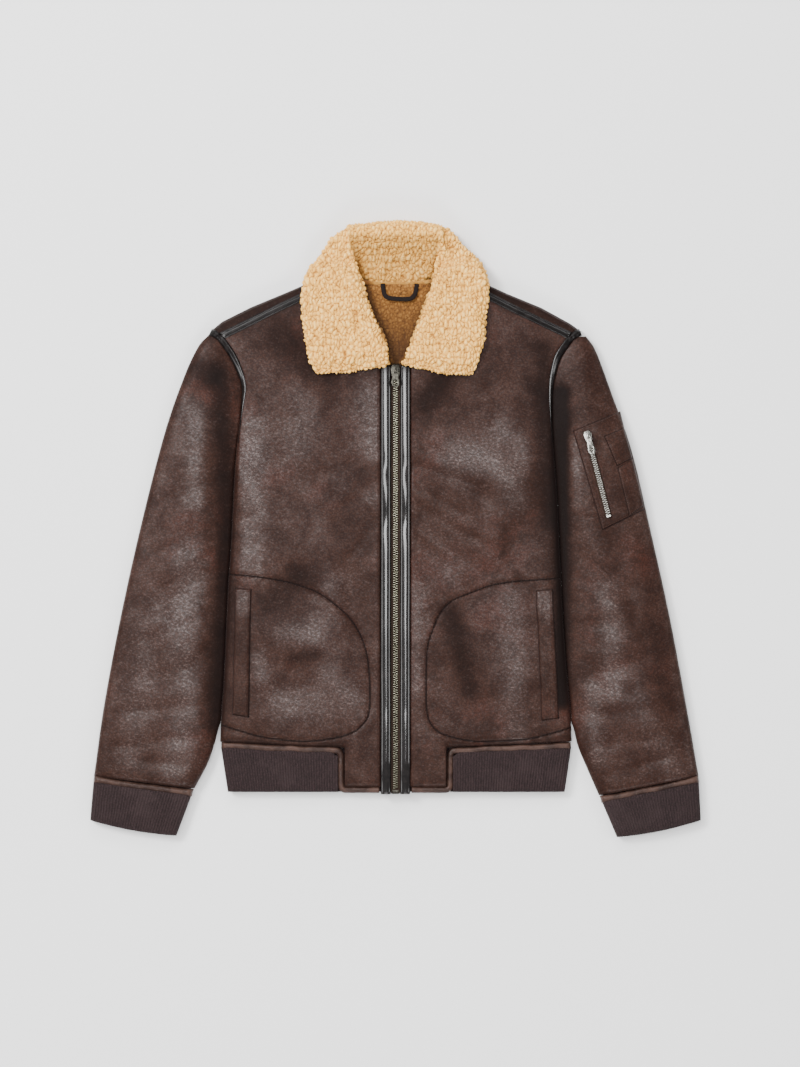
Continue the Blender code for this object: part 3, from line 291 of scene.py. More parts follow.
def grid_quads(rows, columns, start=0):
    """Faces of a grid of points kept row by row, looking up when x runs along a row and y up it."""
    faces = []
    for r in range(rows - 1):
        for c in range(columns - 1):
            a = start + r * columns + c
            faces.append((a, a + 1, a + 1 + columns, a + columns))
    return faces


def rim_of(rows, columns, start=0):
    """The outer points of a grid, once round, anticlockwise seen from above."""
    ring = list(range(columns))
    ring += [r * columns + columns - 1 for r in range(1, rows)]
    ring += [(rows - 1) * columns + c for c in range(columns - 2, -1, -1)]
    ring += [r * columns for r in range(rows - 2, 0, -1)]
    return [start + k for k in ring]


def shell(name, top, low, **where):
    """Closed cloth between two grids of points (rows x columns x 3) with the same outline."""
    rows, columns = top.shape[:2]
    points = np.vstack([top.reshape(-1, 3), low.reshape(-1, 3)])
    faces = grid_quads(rows, columns)
    faces += [tuple(reversed(f)) for f in grid_quads(rows, columns, rows * columns)]
    above = rim_of(rows, columns)
    below = rim_of(rows, columns, rows * columns)
    for k in range(len(above)):
        after = (k + 1) % len(above)
        faces.append((below[k], below[after], above[after], above[k]))
    return make_piece(name, points, faces, **where)


def in_order(points, faces):
    """The same points and faces in an order that is the same in each run. A face of many corners also
    starts at the first of its points; the others keep their start, which says how they split."""
    order = sorted(range(len(points)), key=points.__getitem__)
    rank = {old: new for new, old in enumerate(order)}
    turned = []
    for face in faces:
        ranks = [rank[k] for k in face]
        first = ranks.index(min(ranks)) if len(ranks) > 4 else 0
        turned.append(tuple(ranks[first:] + ranks[:first]))
    return [points[k] for k in order], sorted(turned)


def skin(name, points, faces, base, **where):
    """Cloth whose outer face is given, turned down at its rim and closed flat at z = base."""
    bm = bmesh.new()
    verts = [bm.verts.new(p) for p in np.asarray(points, float).tolist()]
    for face in faces:
        bm.faces.new([verts[k] for k in face])
    bmesh.ops.delete(bm, geom=[v for v in bm.verts if not v.link_faces], context="VERTS")
    rim = [e for e in bm.edges if e.is_boundary]
    turned = bmesh.ops.extrude_edge_only(bm, edges=rim)["geom"]
    for v in turned:
        if isinstance(v, bmesh.types.BMVert):
            v.co.z = base
    foot = [e for e in turned if isinstance(e, bmesh.types.BMEdge) and e.is_boundary]
    bmesh.ops.holes_fill(bm, edges=foot, sides=0)
    bmesh.ops.recalc_face_normals(bm, faces=bm.faces[:])
    bm.verts.index_update()
    points, faces = in_order([tuple(v.co) for v in bm.verts], faces_of(bm))
    bm.free()
    return make_piece(name, points, faces, **where)


def store(piece, name, values):
    """Keep a number at each point, for the piece's material."""
    layer = piece.data.attributes.new(name, "FLOAT", "POINT")
    layer.data.foreach_set("value", np.asarray(values, np.float32))


def store_wear_and_light(piece, seam=NO_SEAM, wear_and_light=None):
    """What the worn suede needs to know at each point: how far the seam is, and its wear and painted light:
    worn glossy and painted paler as highlight over 0, rougher and painted darker as shade under 0.
    """
    x, y, _ = places(piece)
    store(piece, "seam", np.broadcast_to(seam, x.shape))
    store(piece, "wear_and_light", relief(x, y, WEAR_AND_PAINTED_LIGHT) if wear_and_light is None else np.full(x.shape, wear_and_light))


def places(piece):
    """The piece's points in millimetres, as columns of x, y and z."""
    flat = np.empty(len(piece.data.vertices) * 3, np.float32)
    piece.data.vertices.foreach_get("co", flat)
    return flat.reshape(-1, 3).T.astype(float) / MM


# ------------------------------------------------------------------ the body
def body_edge(side, shares):
    """The body's edge from the hem up to the front's shoulder corner."""
    return curve_at(SIDE_EDGE[side] + ARMHOLE[side][1:], shares)


def zip_side(side, shares):
    """A front's inner edge: up beside the zip, then round the neck."""
    x, top = NECKLINE[side][0]
    straight = top - FRONT_FOOT
    past = np.asarray(shares) * (straight + NECK_LENGTH) - straight
    along_zip = np.stack([np.full(len(past), float(x)), top + np.minimum(past, 0)], axis=1)
    round_neck = curve_at(NECKLINE[side], np.clip(past / NECK_LENGTH, 0, 1))
    return np.where((past > 0)[:, None], round_neck, along_zip)


def centre_level(y):
    """Height of the cloth beside the zip."""
    y = np.asarray(y, float)
    both = relief(np.full_like(y, -ZIP_HALF), y, BROAD) + relief(np.full_like(y, ZIP_HALF), y, BROAD)
    return UPPER_BASE + CHEST_RISE + both / 2 - 3.0 * (1 - smooth(-338, -300, y))


def seam_distance(side, x, y):
    """Distance to the curved pocket seam, over 0 inside it, and the length along it."""
    away, along = away_from(SEAM_LINE[side], x, y)
    return np.where(inside(SEAM_LINE[side], x, y), away, -away), along


def worn(x, y, seed):
    """Small unevenness of worn cloth."""
    return (0.70 * mottle(x, y, 46, seed) + 0.32 * mottle(x, y, 19, seed + 1)
            + 0.08 * mottle(x, y, 8, seed + 2))


def creases(x, y, seed, wear=1.0):
    """The listed creases, deeper in some places than in others, and the wear between them."""
    deep = 0.7 * relief(x, y, FINE) * (1 + 0.5 * mottle(x, y, 12, seed + 5))
    return deep + wear * worn(x, y, seed)


TAB_ROWS, BODY_ROWS = 24, 232
TAB_COLUMNS, PLAIN_COLUMNS = 19, 62
FRONT_SEED = {"L": 11, "R": 31}
SLEEVE_SEED = {"L": 51, "R": 71}


def front_grid(side):
    """Points over a front and the tab below it, row by row. Gives x, y, the distance from the side edge,
    the length of each row, the height of the hem below and the distance from the shoulder."""
    tab = TAB_HALF - ZIP_HALF - 0.3
    shares = np.linspace(0, 1, BODY_ROWS)
    outer = body_edge(side, shares)
    centre = zip_side(side, shares)
    length = np.linalg.norm(centre - outer, axis=1)[:, None]
    plain = (length - tab) * smooth(0, 1, np.linspace(0.0, 1.0, PLAIN_COLUMNS))[None, :] * 0.25
    plain += (length - tab) * np.linspace(0, 1, PLAIN_COLUMNS)[None, :] * 0.75
    near_zip = length - tab * np.linspace(1, 0, TAB_COLUMNS)[None, 1:]
    from_side = np.hstack([plain, near_zip])
    spot = outer[:, None, :] + (centre - outer)[:, None, :] * (from_side / length)[:, :, None]
    first = spot[0]
    drop = np.linspace(0, 1, TAB_ROWS)[:-1, None]
    tab_spots = np.stack([np.repeat(first[None, :, 0], TAB_ROWS - 1, axis=0),
                          TAB_BOTTOM + (first[None, :, 1] - TAB_BOTTOM) * drop], axis=2)
    spot = np.vstack([tab_spots, spot])
    from_side = np.vstack([np.repeat(from_side[:1], TAB_ROWS - 1, axis=0), from_side])
    length = np.vstack([np.repeat(length[:1], TAB_ROWS - 1, axis=0), length])
    on_tab = np.arange(spot.shape[1]) >= PLAIN_COLUMNS - 1
    hem = np.where(on_tab[None, :], TAB_BOTTOM, HEM_AT_SIDE - HEM_DROP * from_side / length)
    on_the_tab = np.full((TAB_ROWS - 1, 1), FRONT_HEIGHT)
    from_shoulder = np.vstack([on_the_tab, (1 - shares)[:, None] * FRONT_HEIGHT])
    return spot[:, :, 0], spot[:, :, 1], from_side, length, hem, from_shoulder


def front_and_pocket(side):
    """A front with its hem tab, and the lower side panel inside the curved seam."""
    x, y, from_side, length, hem, from_shoulder = front_grid(side)
    level = CHEST_RISE + (1 + 0.3 * rounding(length - from_side, 30, 1.0)) * relief(x, y, BROAD)
    armhole = smooth(80, 135, y)
    folded = rounding(from_side, 0.75 * FOLD_REACH, level - LEAST_RISE) + LEAST_RISE
    sewn = level - 4.5 + rounding(from_side, 10, 4.5)
    height = folded * (1 - armhole) + sewn * armhole
    height = height - (1.8 - rounding(length - from_side, 4, 1.8))
    height -= 4.0 - rounding(y - hem, 12, 4.0)
    height -= 2.0 - rounding(from_shoulder, 6, 2.0)
    away, along = seam_distance(side, x, y)
    seed = FRONT_SEED[side]
    calm = rounding(from_side, 26, 1.0) * rounding(length - from_side, 10, 1.0)
    height += calm * creases(x, y, seed)
    puff = np.exp(-np.abs(away) / 9.0)
    height += calm * puff * (0.35 + 0.75 * mottle(along, away * 0.4, 9.0, seed + 7))
    height -= 1.1 * np.exp(-(away / 2.6) ** 2) * calm
    points = grid_points(x, y, UPPER_BASE + np.maximum(height, LEAST_RISE))

    front, panel = [], []
    columns = x.shape[1]
    for face in grid_quads(*x.shape):
        row, column = divmod(face[0], columns)
        if row < TAB_ROWS - 1 and column < PLAIN_COLUMNS - 1:
            continue
        (panel if away.reshape(-1)[list(face)].mean() > 0 else front).append(face)
    made = []
    for node, own in (("front_" + SIDE_NAMES[side], front), ("pocket_panel_" + SIDE_NAMES[side], panel)):
        piece = skin(node + "_cloth", points, own, UPPER_BASE, node=node, slot="suede", look=SUEDE)
        px, py, _ = places(piece)
        store_wear_and_light(piece, seam_distance(side, px, py)[0])
        made.append(piece)
    return made


# ------------------------------------------------------------------ the sleeves
def sleeve_edges(side, rows):
    """Inner and outer edges of a sleeve, from the shoulder down to the cuff."""
    s = sign_of(side)
    body = body_edge(side, np.linspace(1, 0.05, 160))
    body = body[body[:, 1] > -250]
    ahead = np.gradient(body, axis=0)
    ahead /= np.linalg.norm(ahead, axis=1)[:, None]
    outward = np.stack([-ahead[:, 1], ahead[:, 0]], axis=1)
    outward *= np.sign(outward[:, :1]) * s
    below_armhole = 1 - smooth(70, 130, body[:, 1:2])
    inner = body + outward * (0.05 + 0.10 * below_armhole)
    free = curve_at((tuple(inner[-1]), *SLEEVE_FREE[side]), np.linspace(0, 1, 40))
    inner = np.vstack([inner, free[1:]])
    length = run_along(inner)[-1]
    wanted = np.linspace(0, length, rows)
    return places_along(inner, wanted), curve_at(SLEEVE_OUTER[side], wanted / length)


def upper_sleeve(side):
    """A sleeve's upper half, with its fold, its crown and the creases at the elbow."""
    rows, columns = 236, 60
    inner, outer = sleeve_edges(side, rows)
    share = np.linspace(0, 1, columns)
    share = 0.7 * share + 0.3 * smooth(0, 1, share)
    spot = inner[:, None, :] + (outer - inner)[:, None, :] * share[None, :, None]
    x, y = spot[:, :, 0], spot[:, :, 1]
    width = np.linalg.norm(outer - inner, axis=1)[:, None]
    from_inner, from_outer = share[None, :] * width, (1 - share[None, :]) * width
    armhole = smooth(80, 135, inner[:, 1:2])
    near_cuff = smooth(-225, -275, inner[:, 1:2])
    inner_part = rounding(from_inner, 46 - 22 * near_cuff, 1.0, 1.75) * (1 - armhole)
    inner_part = inner_part + (0.30 + rounding(from_inner, 46, 0.70, 1.75)) * armhole
    crown = SLEEVE_RISE + 1.25 * relief(x, y, BROAD)
    across_outer = rounding(from_outer, 38, 1.0)
    height = LEAST_RISE + crown * inner_part * across_outer
    to_cuff = np.linalg.norm(spot[-1][None, :, :] - spot, axis=2)
    height = height - (3.5 - rounding(to_cuff, 12, 3.5)) * rounding(from_inner, 10, 1.0)
    calm = rounding(from_inner, 16, 1.0) * rounding(from_outer, 26, 1.0) * rounding(to_cuff, 9, 1.0)
    height = height + calm * creases(x, y, SLEEVE_SEED[side], wear=1.15)
    points = grid_points(x, y, UPPER_BASE + np.maximum(height, LEAST_RISE))
    name = "sleeve_" + SIDE_NAMES[side] + "_upper"
    faces = [tuple(reversed(f)) for f in grid_quads(rows, columns)]
    piece = skin(name + "_cloth", points, faces, UPPER_BASE, node=name, slot="suede", look=SUEDE)
    store_wear_and_light(piece)
    return piece


# ------------------------------------------------------------------ pieces made from their solids
def finer(node, look, slot):
    """A copy of a solid's form with more faces, for cloth that lies out of sight or plain."""
    same_place, long_edge = 0.00002, 0.006      # metres
    bm = bmesh.new()
    bm.from_mesh(NODES[node].data)
    bmesh.ops.remove_doubles(bm, verts=bm.verts[:], dist=same_place)
    long_edges = [e for e in bm.edges if e.calc_length() > long_edge]
    bmesh.ops.subdivide_edges(bm, edges=long_edges, cuts=1, use_grid_fill=True)
    bmesh.ops.triangulate(bm, faces=[f for f in bm.faces if len(f.verts) > 4])
    bm.normal_update()
    points = [tuple(v.co / MM) for v in bm.verts]
    faces = faces_of(bm)
    bm.free()
    piece = make_piece(node + "_cloth", points, faces, node=node, slot=slot, look=look)
    piece.data.set_sharp_from_angle(angle=math.radians(42))
    return piece


# ------------------------------------------------------------------ curly pile
def nubs(points, size, seed):
    """Where each point lies in a field of uneven round nubs: 0 in the crease between, 1 on top, and
    a number from 0 to 1 that is the nub's own."""
    side = 32
    lattice = np.random.default_rng(seed).uniform(0.1, 0.9, (side, side, side, 4))
    scaled = points / size + 2 * side
    cell = np.floor(scaled).astype(int)
    nearest = np.full(len(points), 9.0)
    second = np.full(len(points), 9.0)
    own = np.zeros(len(points))
    for step in np.ndindex(3, 3, 3):
        other = cell + np.array(step) - 1
        jitter = lattice[tuple((other % side).T)]
        away = np.linalg.norm(other + jitter[:, :3] - scaled, axis=1)
        closer = away < nearest
        second = np.where(closer, nearest, np.minimum(second, away))
        own = np.where(closer, jitter[:, 3], own)
        nearest = np.where(closer, away, nearest)
    return np.sqrt(np.clip((second - nearest) * 1.9, 0, 1)), own


LEAF_EDGES = (              # where the collar's two leaves stop, beside the open neck
    ((-2, 218), (-20.4, 255.6), (-36.5, 298.7), (-44.5, 326.7), (-55.0, 357.0), (-62.0, 384)),
    ((4, 218), (19.5, 240.0), (35.6, 282.8), (46.4, 314.9), (51.9, 341.8), (57.0, 384)),
)


def light_inside(x, y):
    """How much light reaches the inside of the neck: 1 is full light."""
    (left_x, left_y), (right_x, right_y) = (np.array(edge, float).T for edge in LEAF_EDGES)
    from_left = x - np.interp(y, left_y, left_x)
    from_right = np.interp(y, right_y, right_x) - x
    open_part = smooth(-1.5, 1.5, from_left) * smooth(-1.5, 1.5, from_right) * smooth(388, 374, y)
    corner = 0.58 * np.exp(-(from_left / 10.0) ** 2) + 0.26 * np.exp(-(from_right / 5.0) ** 2)
    return 1 - open_part * (0.41 + corner * smooth(392, 345, y))


def pile(node, grain, size, rise, seed, look, slot, stretch=(1.0, 0.80, 1.0)):
    """Curly pile grown on a solid's form: a skin with a point every grain mm, pushed out into nubs that
    are about size mm across and rise mm high."""
    blank = add(node + "_blank", NODES[node].data.copy())
    blank.matrix_world = NODES[node].matrix_world
    even = blank.modifiers.new("even", "REMESH")
    even.mode = "VOXEL"
    even.voxel_size = grain * MM
    read = blank.evaluated_get(bpy.context.evaluated_depsgraph_get())
    bm = bmesh.new()
    bm.from_mesh(read.to_mesh())
    bpy.data.objects.remove(blank)
    for _ in range(5):
        bmesh.ops.smooth_vert(bm, verts=bm.verts[:], factor=0.5, use_axis_x=True, use_axis_y=True,
                              use_axis_z=True)
    bm.normal_update()
    at = np.array([v.co for v in bm.verts]) / MM
    out = np.array([v.normal for v in bm.verts])
    faces = faces_of(bm)
    bm.free()
    x, y, z = at.T
    drift = np.stack([mottle(x, y, 9, seed + n) for n in range(3)], axis=1)
    top, own = nubs((at + drift * 1.8) * np.array(stretch), size, seed)
    fine, _ = nubs(at + drift, size * 0.48, seed + 9)
    lift = (top * (0.65 + 0.7 * own) - 0.55) * rise + (fine - 0.5) * rise * 0.30
    lift += 0.5 * rise * mottle(x, y, 21, seed + 4)
    moved = at + out * (lift * smooth(0.5, 4.0, z - 0.2))[:, None]
    moved[:, 2] = np.maximum(moved[:, 2], 0.05)
    piece = make_piece(node + "_pile", moved, faces, node=node, slot=slot, look=look)
    store(piece, "tuft", np.clip(top * (0.55 + 0.45 * fine), 0, 1))
    # Painted shade: the lining darkens down towards the bottom of the neck's V.
    deep_down = 0.12 + 0.93 * smooth(222, 335, y) if node == "back_neck_lining" else 1.0
    store(piece, "light", light_inside(x, y) * deep_down)
    return piece


# ------------------------------------------------------------------ bands, rolls and stitches
class Ground:
    """The top of some finished pieces, for what is sewn on them."""

    def __init__(self, *pieces):
        self.trees = []
        for piece in pieces:
            bm = bmesh.new()
            bm.from_mesh(piece.data)
            self.trees.append(BVHTree.FromBMesh(bm))
            bm.free()

    def height(self, x, y):
        """How high the ground is at each place."""
        x, y = np.broadcast_arrays(np.asarray(x, float), np.asarray(y, float))
        result = np.full(x.size, UPPER_BASE)
        for n, (px, py) in enumerate(zip(x.ravel(), y.ravel())):
            for tree in self.trees:
                hit = tree.ray_cast(Vector((px * MM, py * MM, 1.0)), Vector((0, 0, -1)))[0]
                if hit is not None:
                    result[n] = max(result[n], hit.z / MM)
        return result.reshape(x.shape)


def on_base(x, y):
    """The level ground of what lies on the lower layer."""
    return np.full_like(x, UPPER_BASE)


def on_top(row, ground, raised):
    """The line's points with their heights, lying on the ground and raised above it."""
    return np.column_stack([row, ground.height(row[:, 0], row[:, 1]) + raised])


def bridged(on, columns):
    """The ground under a strip: it spans a dip between its two edges instead of sinking in."""
    share = np.linspace(0, 1, columns)[None, :]

    def ground(x, y):
        rest = on.height(x, y)
        return np.maximum(rest, rest[:, :1] * (1 - share) + rest[:, -1:] * share)

    return ground


def even_line(line, spacing):
    """The same line with points an even step apart, about the spacing given."""
    line = np.asarray(line, float)
    length = run_along(line)[-1]
    return places_along(line, np.linspace(0, length, max(2, int(round(length / spacing)) + 1)))


def beside(line, offset):
    """The line moved sideways, to the left of its way for an offset over 0."""
    ahead = np.gradient(line[:, :2], axis=0)
    ahead /= np.linalg.norm(ahead, axis=1)[:, None]
    moved = line.copy()
    moved[:, 0] -= ahead[:, 1] * offset
    moved[:, 1] += ahead[:, 0] * offset
    return moved


def band(name, line, half_width, lift, ground, base=None, columns=13, foot=None, **where):
    """A strip along a line; lift(share, run) is its height over what it lies on."""
    shares = np.linspace(-1, 1, columns)
    shares = np.sign(shares) * (1 - (1 - np.abs(shares)) ** 1.35)
    half = np.broadcast_to(np.asarray(half_width, float), (len(line),))
    run = run_along(line)[:, None]
    grid = np.stack([beside(line, half * -share) for share in shares], axis=1)
    x, y = grid[:, :, 0], grid[:, :, 1]
    rest = ground(x, y)
    top = np.stack([x, y, rest + lift(shares[None, :], run)], axis=2)
    floor = rest - 0.4 if base is None else np.full_like(rest, base)
    if foot is not None:
        floor = np.minimum(floor, foot[:, None])
    low = np.stack([x, y, floor], axis=2)
    return shell(name, top[:, ::-1], low[:, ::-1], **where)


def stitches(name, line, look, slot, pitch, length, thick):
    """A row of short thread stitches along a line that carries its own height."""
    sides = 5
    around = np.linspace(0, 2 * math.pi, sides + 1)[:-1]
    points, faces = [], []
    for start in np.arange(pitch / 2, run_along(line)[-1] - length, pitch):
        ends = places_along(line, start + np.array((0, 0.5, 1)) * length)
        ahead = ends[2] - ends[0]
        ahead /= np.linalg.norm(ahead)
        across = np.cross(ahead, (0, 0, 1))
        across /= np.linalg.norm(across)
        up = np.cross(across, ahead)
        first = len(points)
        for place, size, raised in zip(ends, (0.55, 1.0, 0.55), (-0.35, 0.25, -0.35)):
            centre = place + up * (raised * thick)
            for a in around:
                points.append(centre + (across * math.cos(a) + up * math.sin(a)) * thick * size)
        for ring in (0, sides):
            for k in range(sides):
                a, b = first + ring + k, first + ring + (k + 1) % sides
                faces.append((a, a + sides, b + sides, b))
        faces.append(tuple(first + k for k in range(sides)))
        faces.append(tuple(first + 2 * sides + k for k in reversed(range(sides))))
    make_piece(name, points, faces, slot=slot, look=look)


def half_round(share):
    """Height of a half circle: 1 in the middle and 0 at a share of 1 either side."""
    return np.sqrt(np.clip(1 - share * share, 0, 1))


def rolled_edge(node, line, half_width, lift):
    """A strip of rolled leather beside the ribs."""
    band(node + "_roll", line, half_width, lift, on_base, base=UPPER_BASE, node=node,
         slot="rolled_edge", look=ROLLED)


def ripple(run, across, size, seed):
    """The small waves of rolled leather."""
    return 0.6 * mottle(run, across * 3, size, seed) + 0.25 * mottle(run, across * 3, 4, seed + 1)


# ------------------------------------------------------------------ the front zip
def placket(side):
    """The black leather strip beside the zip, rolled, with a stitched line along each edge."""
    s = sign_of(side)
    name = "zip_placket_" + SIDE_NAMES[side]
    y = np.arange(ZIP_TOP, ZIP_END, -2.6)
    middle = s * (TAPE_HALF + ZIP_HALF + 0.15) / 2
    half = (ZIP_HALF - TAPE_HALF - 0.45) / 2
    sway = 0.25 * mottle(y, y * 0 + 40 * s, 60, 3)
    line = np.stack([middle + sway, y], axis=1)

    def lift(share, run):
        waves = 0.06 * mottle(run, run * 0 + s * 9, 30, 5)
        return -0.6 + 3.0 * half_round(share * 0.97) + waves * half_round(share)

    piece = band(name + "_strip", line, half, lift, lambda px, py: centre_level(py), base=UPPER_BASE,
                 node=name, slot="black_leather", look=BLACK)
    x, y_at, _ = places(piece)
    shaded = 0.25 + 0.75 * smooth(ZIP_TOP - 2, ZIP_TOP - 14, y_at)
    store(piece, "shine", (0.74 + 0.16 * mottle(x * 0, y_at, 40, 72)) * shaded)
    for edge, offset in (("inner", -s * (half - 0.9)), ("outer", s * (half - 0.9))):
        row = line + np.array([[offset, 0.0]])
        row = np.column_stack([row, centre_level(row[:, 1]) + 0.55])
        stitches(name + "_stitches_" + edge, row, THREAD, "black_leather", pitch=3.0, length=2.1, thick=0.26)


def rounded_box(size, turn):
    """Points of a small block with cut corners, turned in plan, and its faces."""
    bm = bmesh.new()
    bmesh.ops.create_cube(bm, size=1.0)
    bmesh.ops.scale(bm, vec=size, verts=bm.verts[:])
    bmesh.ops.bevel(bm, geom=bm.edges[:], offset=min(size) * 0.22, segments=1, affect="EDGES")
    bmesh.ops.rotate(bm, verts=bm.verts[:], cent=(0, 0, 0), matrix=Matrix.Rotation(turn, 3, "Z"))
    points = np.array([v.co for v in bm.verts])
    faces = faces_of(bm)
    bm.free()
    return points, faces


def row_of_teeth(name, start, end, height, reach, pitch, node, look, slot):
    """Interlocked zip teeth, from two sides in turn, along a straight run."""
    start, end = np.array(start, float), np.array(end, float)
    length = np.linalg.norm(end - start)
    ahead = (end - start) / length
    across = np.array([-ahead[1], ahead[0]])
    turn = math.atan2(across[1], across[0])
    tooth = ((*rounded_box((reach * 0.95, pitch * 0.42, 1.5), turn), 0.54),
             (*rounded_box((reach * 0.34, pitch * 0.26, 1.2), turn), 0.10))
    points, faces, count = [], [], 0
    for k in range(int(2 * length / pitch)):
        side = 1 if k % 2 else -1
        spot = start + ahead * (k + 0.5) * pitch / 2
        for shape, shape_faces, out in tooth:
            middle = spot + across * side * reach * out
            points.append(shape + np.array([middle[0], middle[1], height(*middle)]))
            faces += [tuple(i + count for i in f) for f in shape_faces]
            count += len(shape)
    make_piece(name, np.vstack(points), faces, node=node, slot=slot, look=look, flat=True)


def smooth_metal(node, look):
    """The solid's own form with its edges rounded off; lengths here are metres."""
    made = add(node + "_polished", NODES[node].data.copy())
    made.data.materials.clear()
    made.data.materials.append(look)
    weld = made.modifiers.new("weld", "WELD")
    weld.merge_threshold = 0.00001
    edge = made.modifiers.new("rounded", "BEVEL")
    edge.width = 0.00035
    edge.segments = 2
    edge.limit_method = "ANGLE"
    edge.angle_limit = math.radians(35)
    made.data.shade_smooth()
    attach(made, BODY_OF.get(node, JACKET))
    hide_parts(node)


# ------------------------------------------------------------------ ribbing
HEM_RIBS = 44
CUFF_RIBS = 34
RIB_RISE = 1.25
RIB_MIDDLE = 0.6            # the mean height of a rib's round, as a share of its full height
WELT_RISE = 7.6
CUFF_LENGTH = 60
WELT_MIDDLE, RIBS_FROM = 0.0835, 0.135      # down a cuff: the welt's middle, and where the ribs begin


def knit(node, x, y, z):
    """Ribbing over a grid of points, closed below."""
    skin(node + "_knit", grid_points(x, y, z), grid_quads(*x.shape), UPPER_BASE, node=node,
         slot="rib_knit", look=RIBBED)


def rib_relief(position, run, seed):
    """Round ribs with narrow dips between; position counts ribs, run goes down them in mm."""
    bent = position + 0.10 * mottle(run, position * 3, 14, seed)
    phase = bent - np.floor(bent)
    return np.abs(np.sin(math.pi * phase)) ** 0.62


def hem_line(x):
    """Where the body's hem runs, which drops a little towards the zip."""
    return HEM_AT_SIDE - 0.3 - HEM_DROP * (1 - (np.abs(x) - 20) / 208)


def hem_rib(side):
    """The hem's ribbing, from the side to the tab."""
    s = sign_of(side)
    name = "hem_rib_" + SIDE_NAMES[side]
    edge_top, edge_end = {"L": (-226.9, -218), "R": (228.4, 220)}[side]
    inner_x = s * (TAB_HALF + WELT_ROLL + 0.8)
    rows, columns = 22, 9 * HEM_RIBS + 1
    down = np.linspace(0, 1, rows)[:, None]
    share = np.linspace(0, 1, columns)[None, :]
    edge = edge_top + (edge_end - edge_top) * down
    x = edge + (inner_x - edge) * share
    top_y = hem_line(x) - WELT_ROLL - 0.6 - 4.5 * smooth(9, 1, np.abs(x - inner_x)) + 2.0
    y = top_y + (HEM_BOTTOM - top_y) * down
    y = y + down * 0.5 * (rib_relief(share * HEM_RIBS, y, 3) - RIB_MIDDLE)
    rounded = 2.6 - rounding(np.abs(y - HEM_BOTTOM), 7, 2.6)
    tucked = 1.4 * smooth(6, 0, top_y - y)
    level = 1.6 + rounding(np.abs(x - edge), 11, 5.6) + 0.5 * mottle(x, y, 22, 8) - rounded - tucked
    ribs = rib_relief(share * HEM_RIBS, y, 3) - RIB_MIDDLE
    knit(name, x, y, UPPER_BASE + np.maximum(level + RIB_RISE * ribs, 0.5))


CUFF_CORNERS = {            # inner top, outer top, outer end, inner end of the ribbing
    "L": ((-262, -337), (-392, -320), (-397, -378), (-285, -398)),
    "R": ((265, -346), (394, -320), (397, -378), (288, -400)),
}


def between_corners(corners, across, down):
    """Places between four corners that go round: across from the first to the second, and down."""
    a, b, c, d = (np.array(p, float) for p in corners)
    return (a + (d - a) * down) * (1 - across) + (b + (c - b) * down) * across


def cuff_place(side, across, down):
    """A place on the cuff: across from its inner to its outer edge, and down to its end."""
    across, down = (v[..., None] for v in np.broadcast_arrays(across, down))
    spot = between_corners(CUFF_CORNERS[side], across, down)
    bow = -3.0 * np.sin(math.pi * across) * down
    return spot[..., 0], spot[..., 1] + bow[..., 0]


def cuff(side):
    """Ribbing and the rolled leather above it, on the upper layer."""
    name = SIDE_NAMES[side]
    (ax, ay), (bx, by) = CUFF_CORNERS[side][:2]
    width = math.hypot(bx - ax, by - ay)
    rows, columns = 22, 9 * CUFF_RIBS + 1
    down = RIBS_FROM + (1 - RIBS_FROM) * np.linspace(0, 1, rows)[:, None]
    share = np.linspace(0, 1, columns)[None, :]
    x, y = cuff_place(side, share, down)
    edge = np.minimum(share, 1 - share) * width
    ribs = rib_relief(share * CUFF_RIBS, down * CUFF_LENGTH + share * 0, 23 if side == "L" else 29)
    rounded = 2.4 - rounding((1 - down) * CUFF_LENGTH, 7, 2.4)
    tucked = 1.2 * smooth(0.21, RIBS_FROM, down)
    level = 1.4 + rounding(edge, 14, 6.6) - rounded - tucked + 0.5 * mottle(x, y, 20, 9)
    y = y + 0.5 * smooth(0.8, 1.0, down) * (ribs - RIB_MIDDLE)
    level = level + RIB_RISE * (ribs - RIB_MIDDLE) * rounding(edge, 5, 1.0)
    knit("cuff_rib_" + name, x, y, UPPER_BASE + np.maximum(level, 0.5))

    share = np.linspace(0, 1, 64)
    x, y = cuff_place(side, share, np.full(64, WELT_MIDDLE))
    line = np.stack([x, y], axis=1)
    line[:, 1] += 0.8 * mottle(line[:, 0], line[:, 0] * 0, 17, 12)
    edge = np.minimum(share, 1 - share)[:, None] * width

    def lift(across, run):
        full = np.minimum(3.0 + 5.6 * half_round(across), LEAST_RISE + rounding(edge, 12, 8.6))
        return full + ripple(run, across, 11, 14) * half_round(across) * rounding(edge, 8, 1.0)

    rolled_edge("cuff_welt_" + name, line, 4.6, lift)


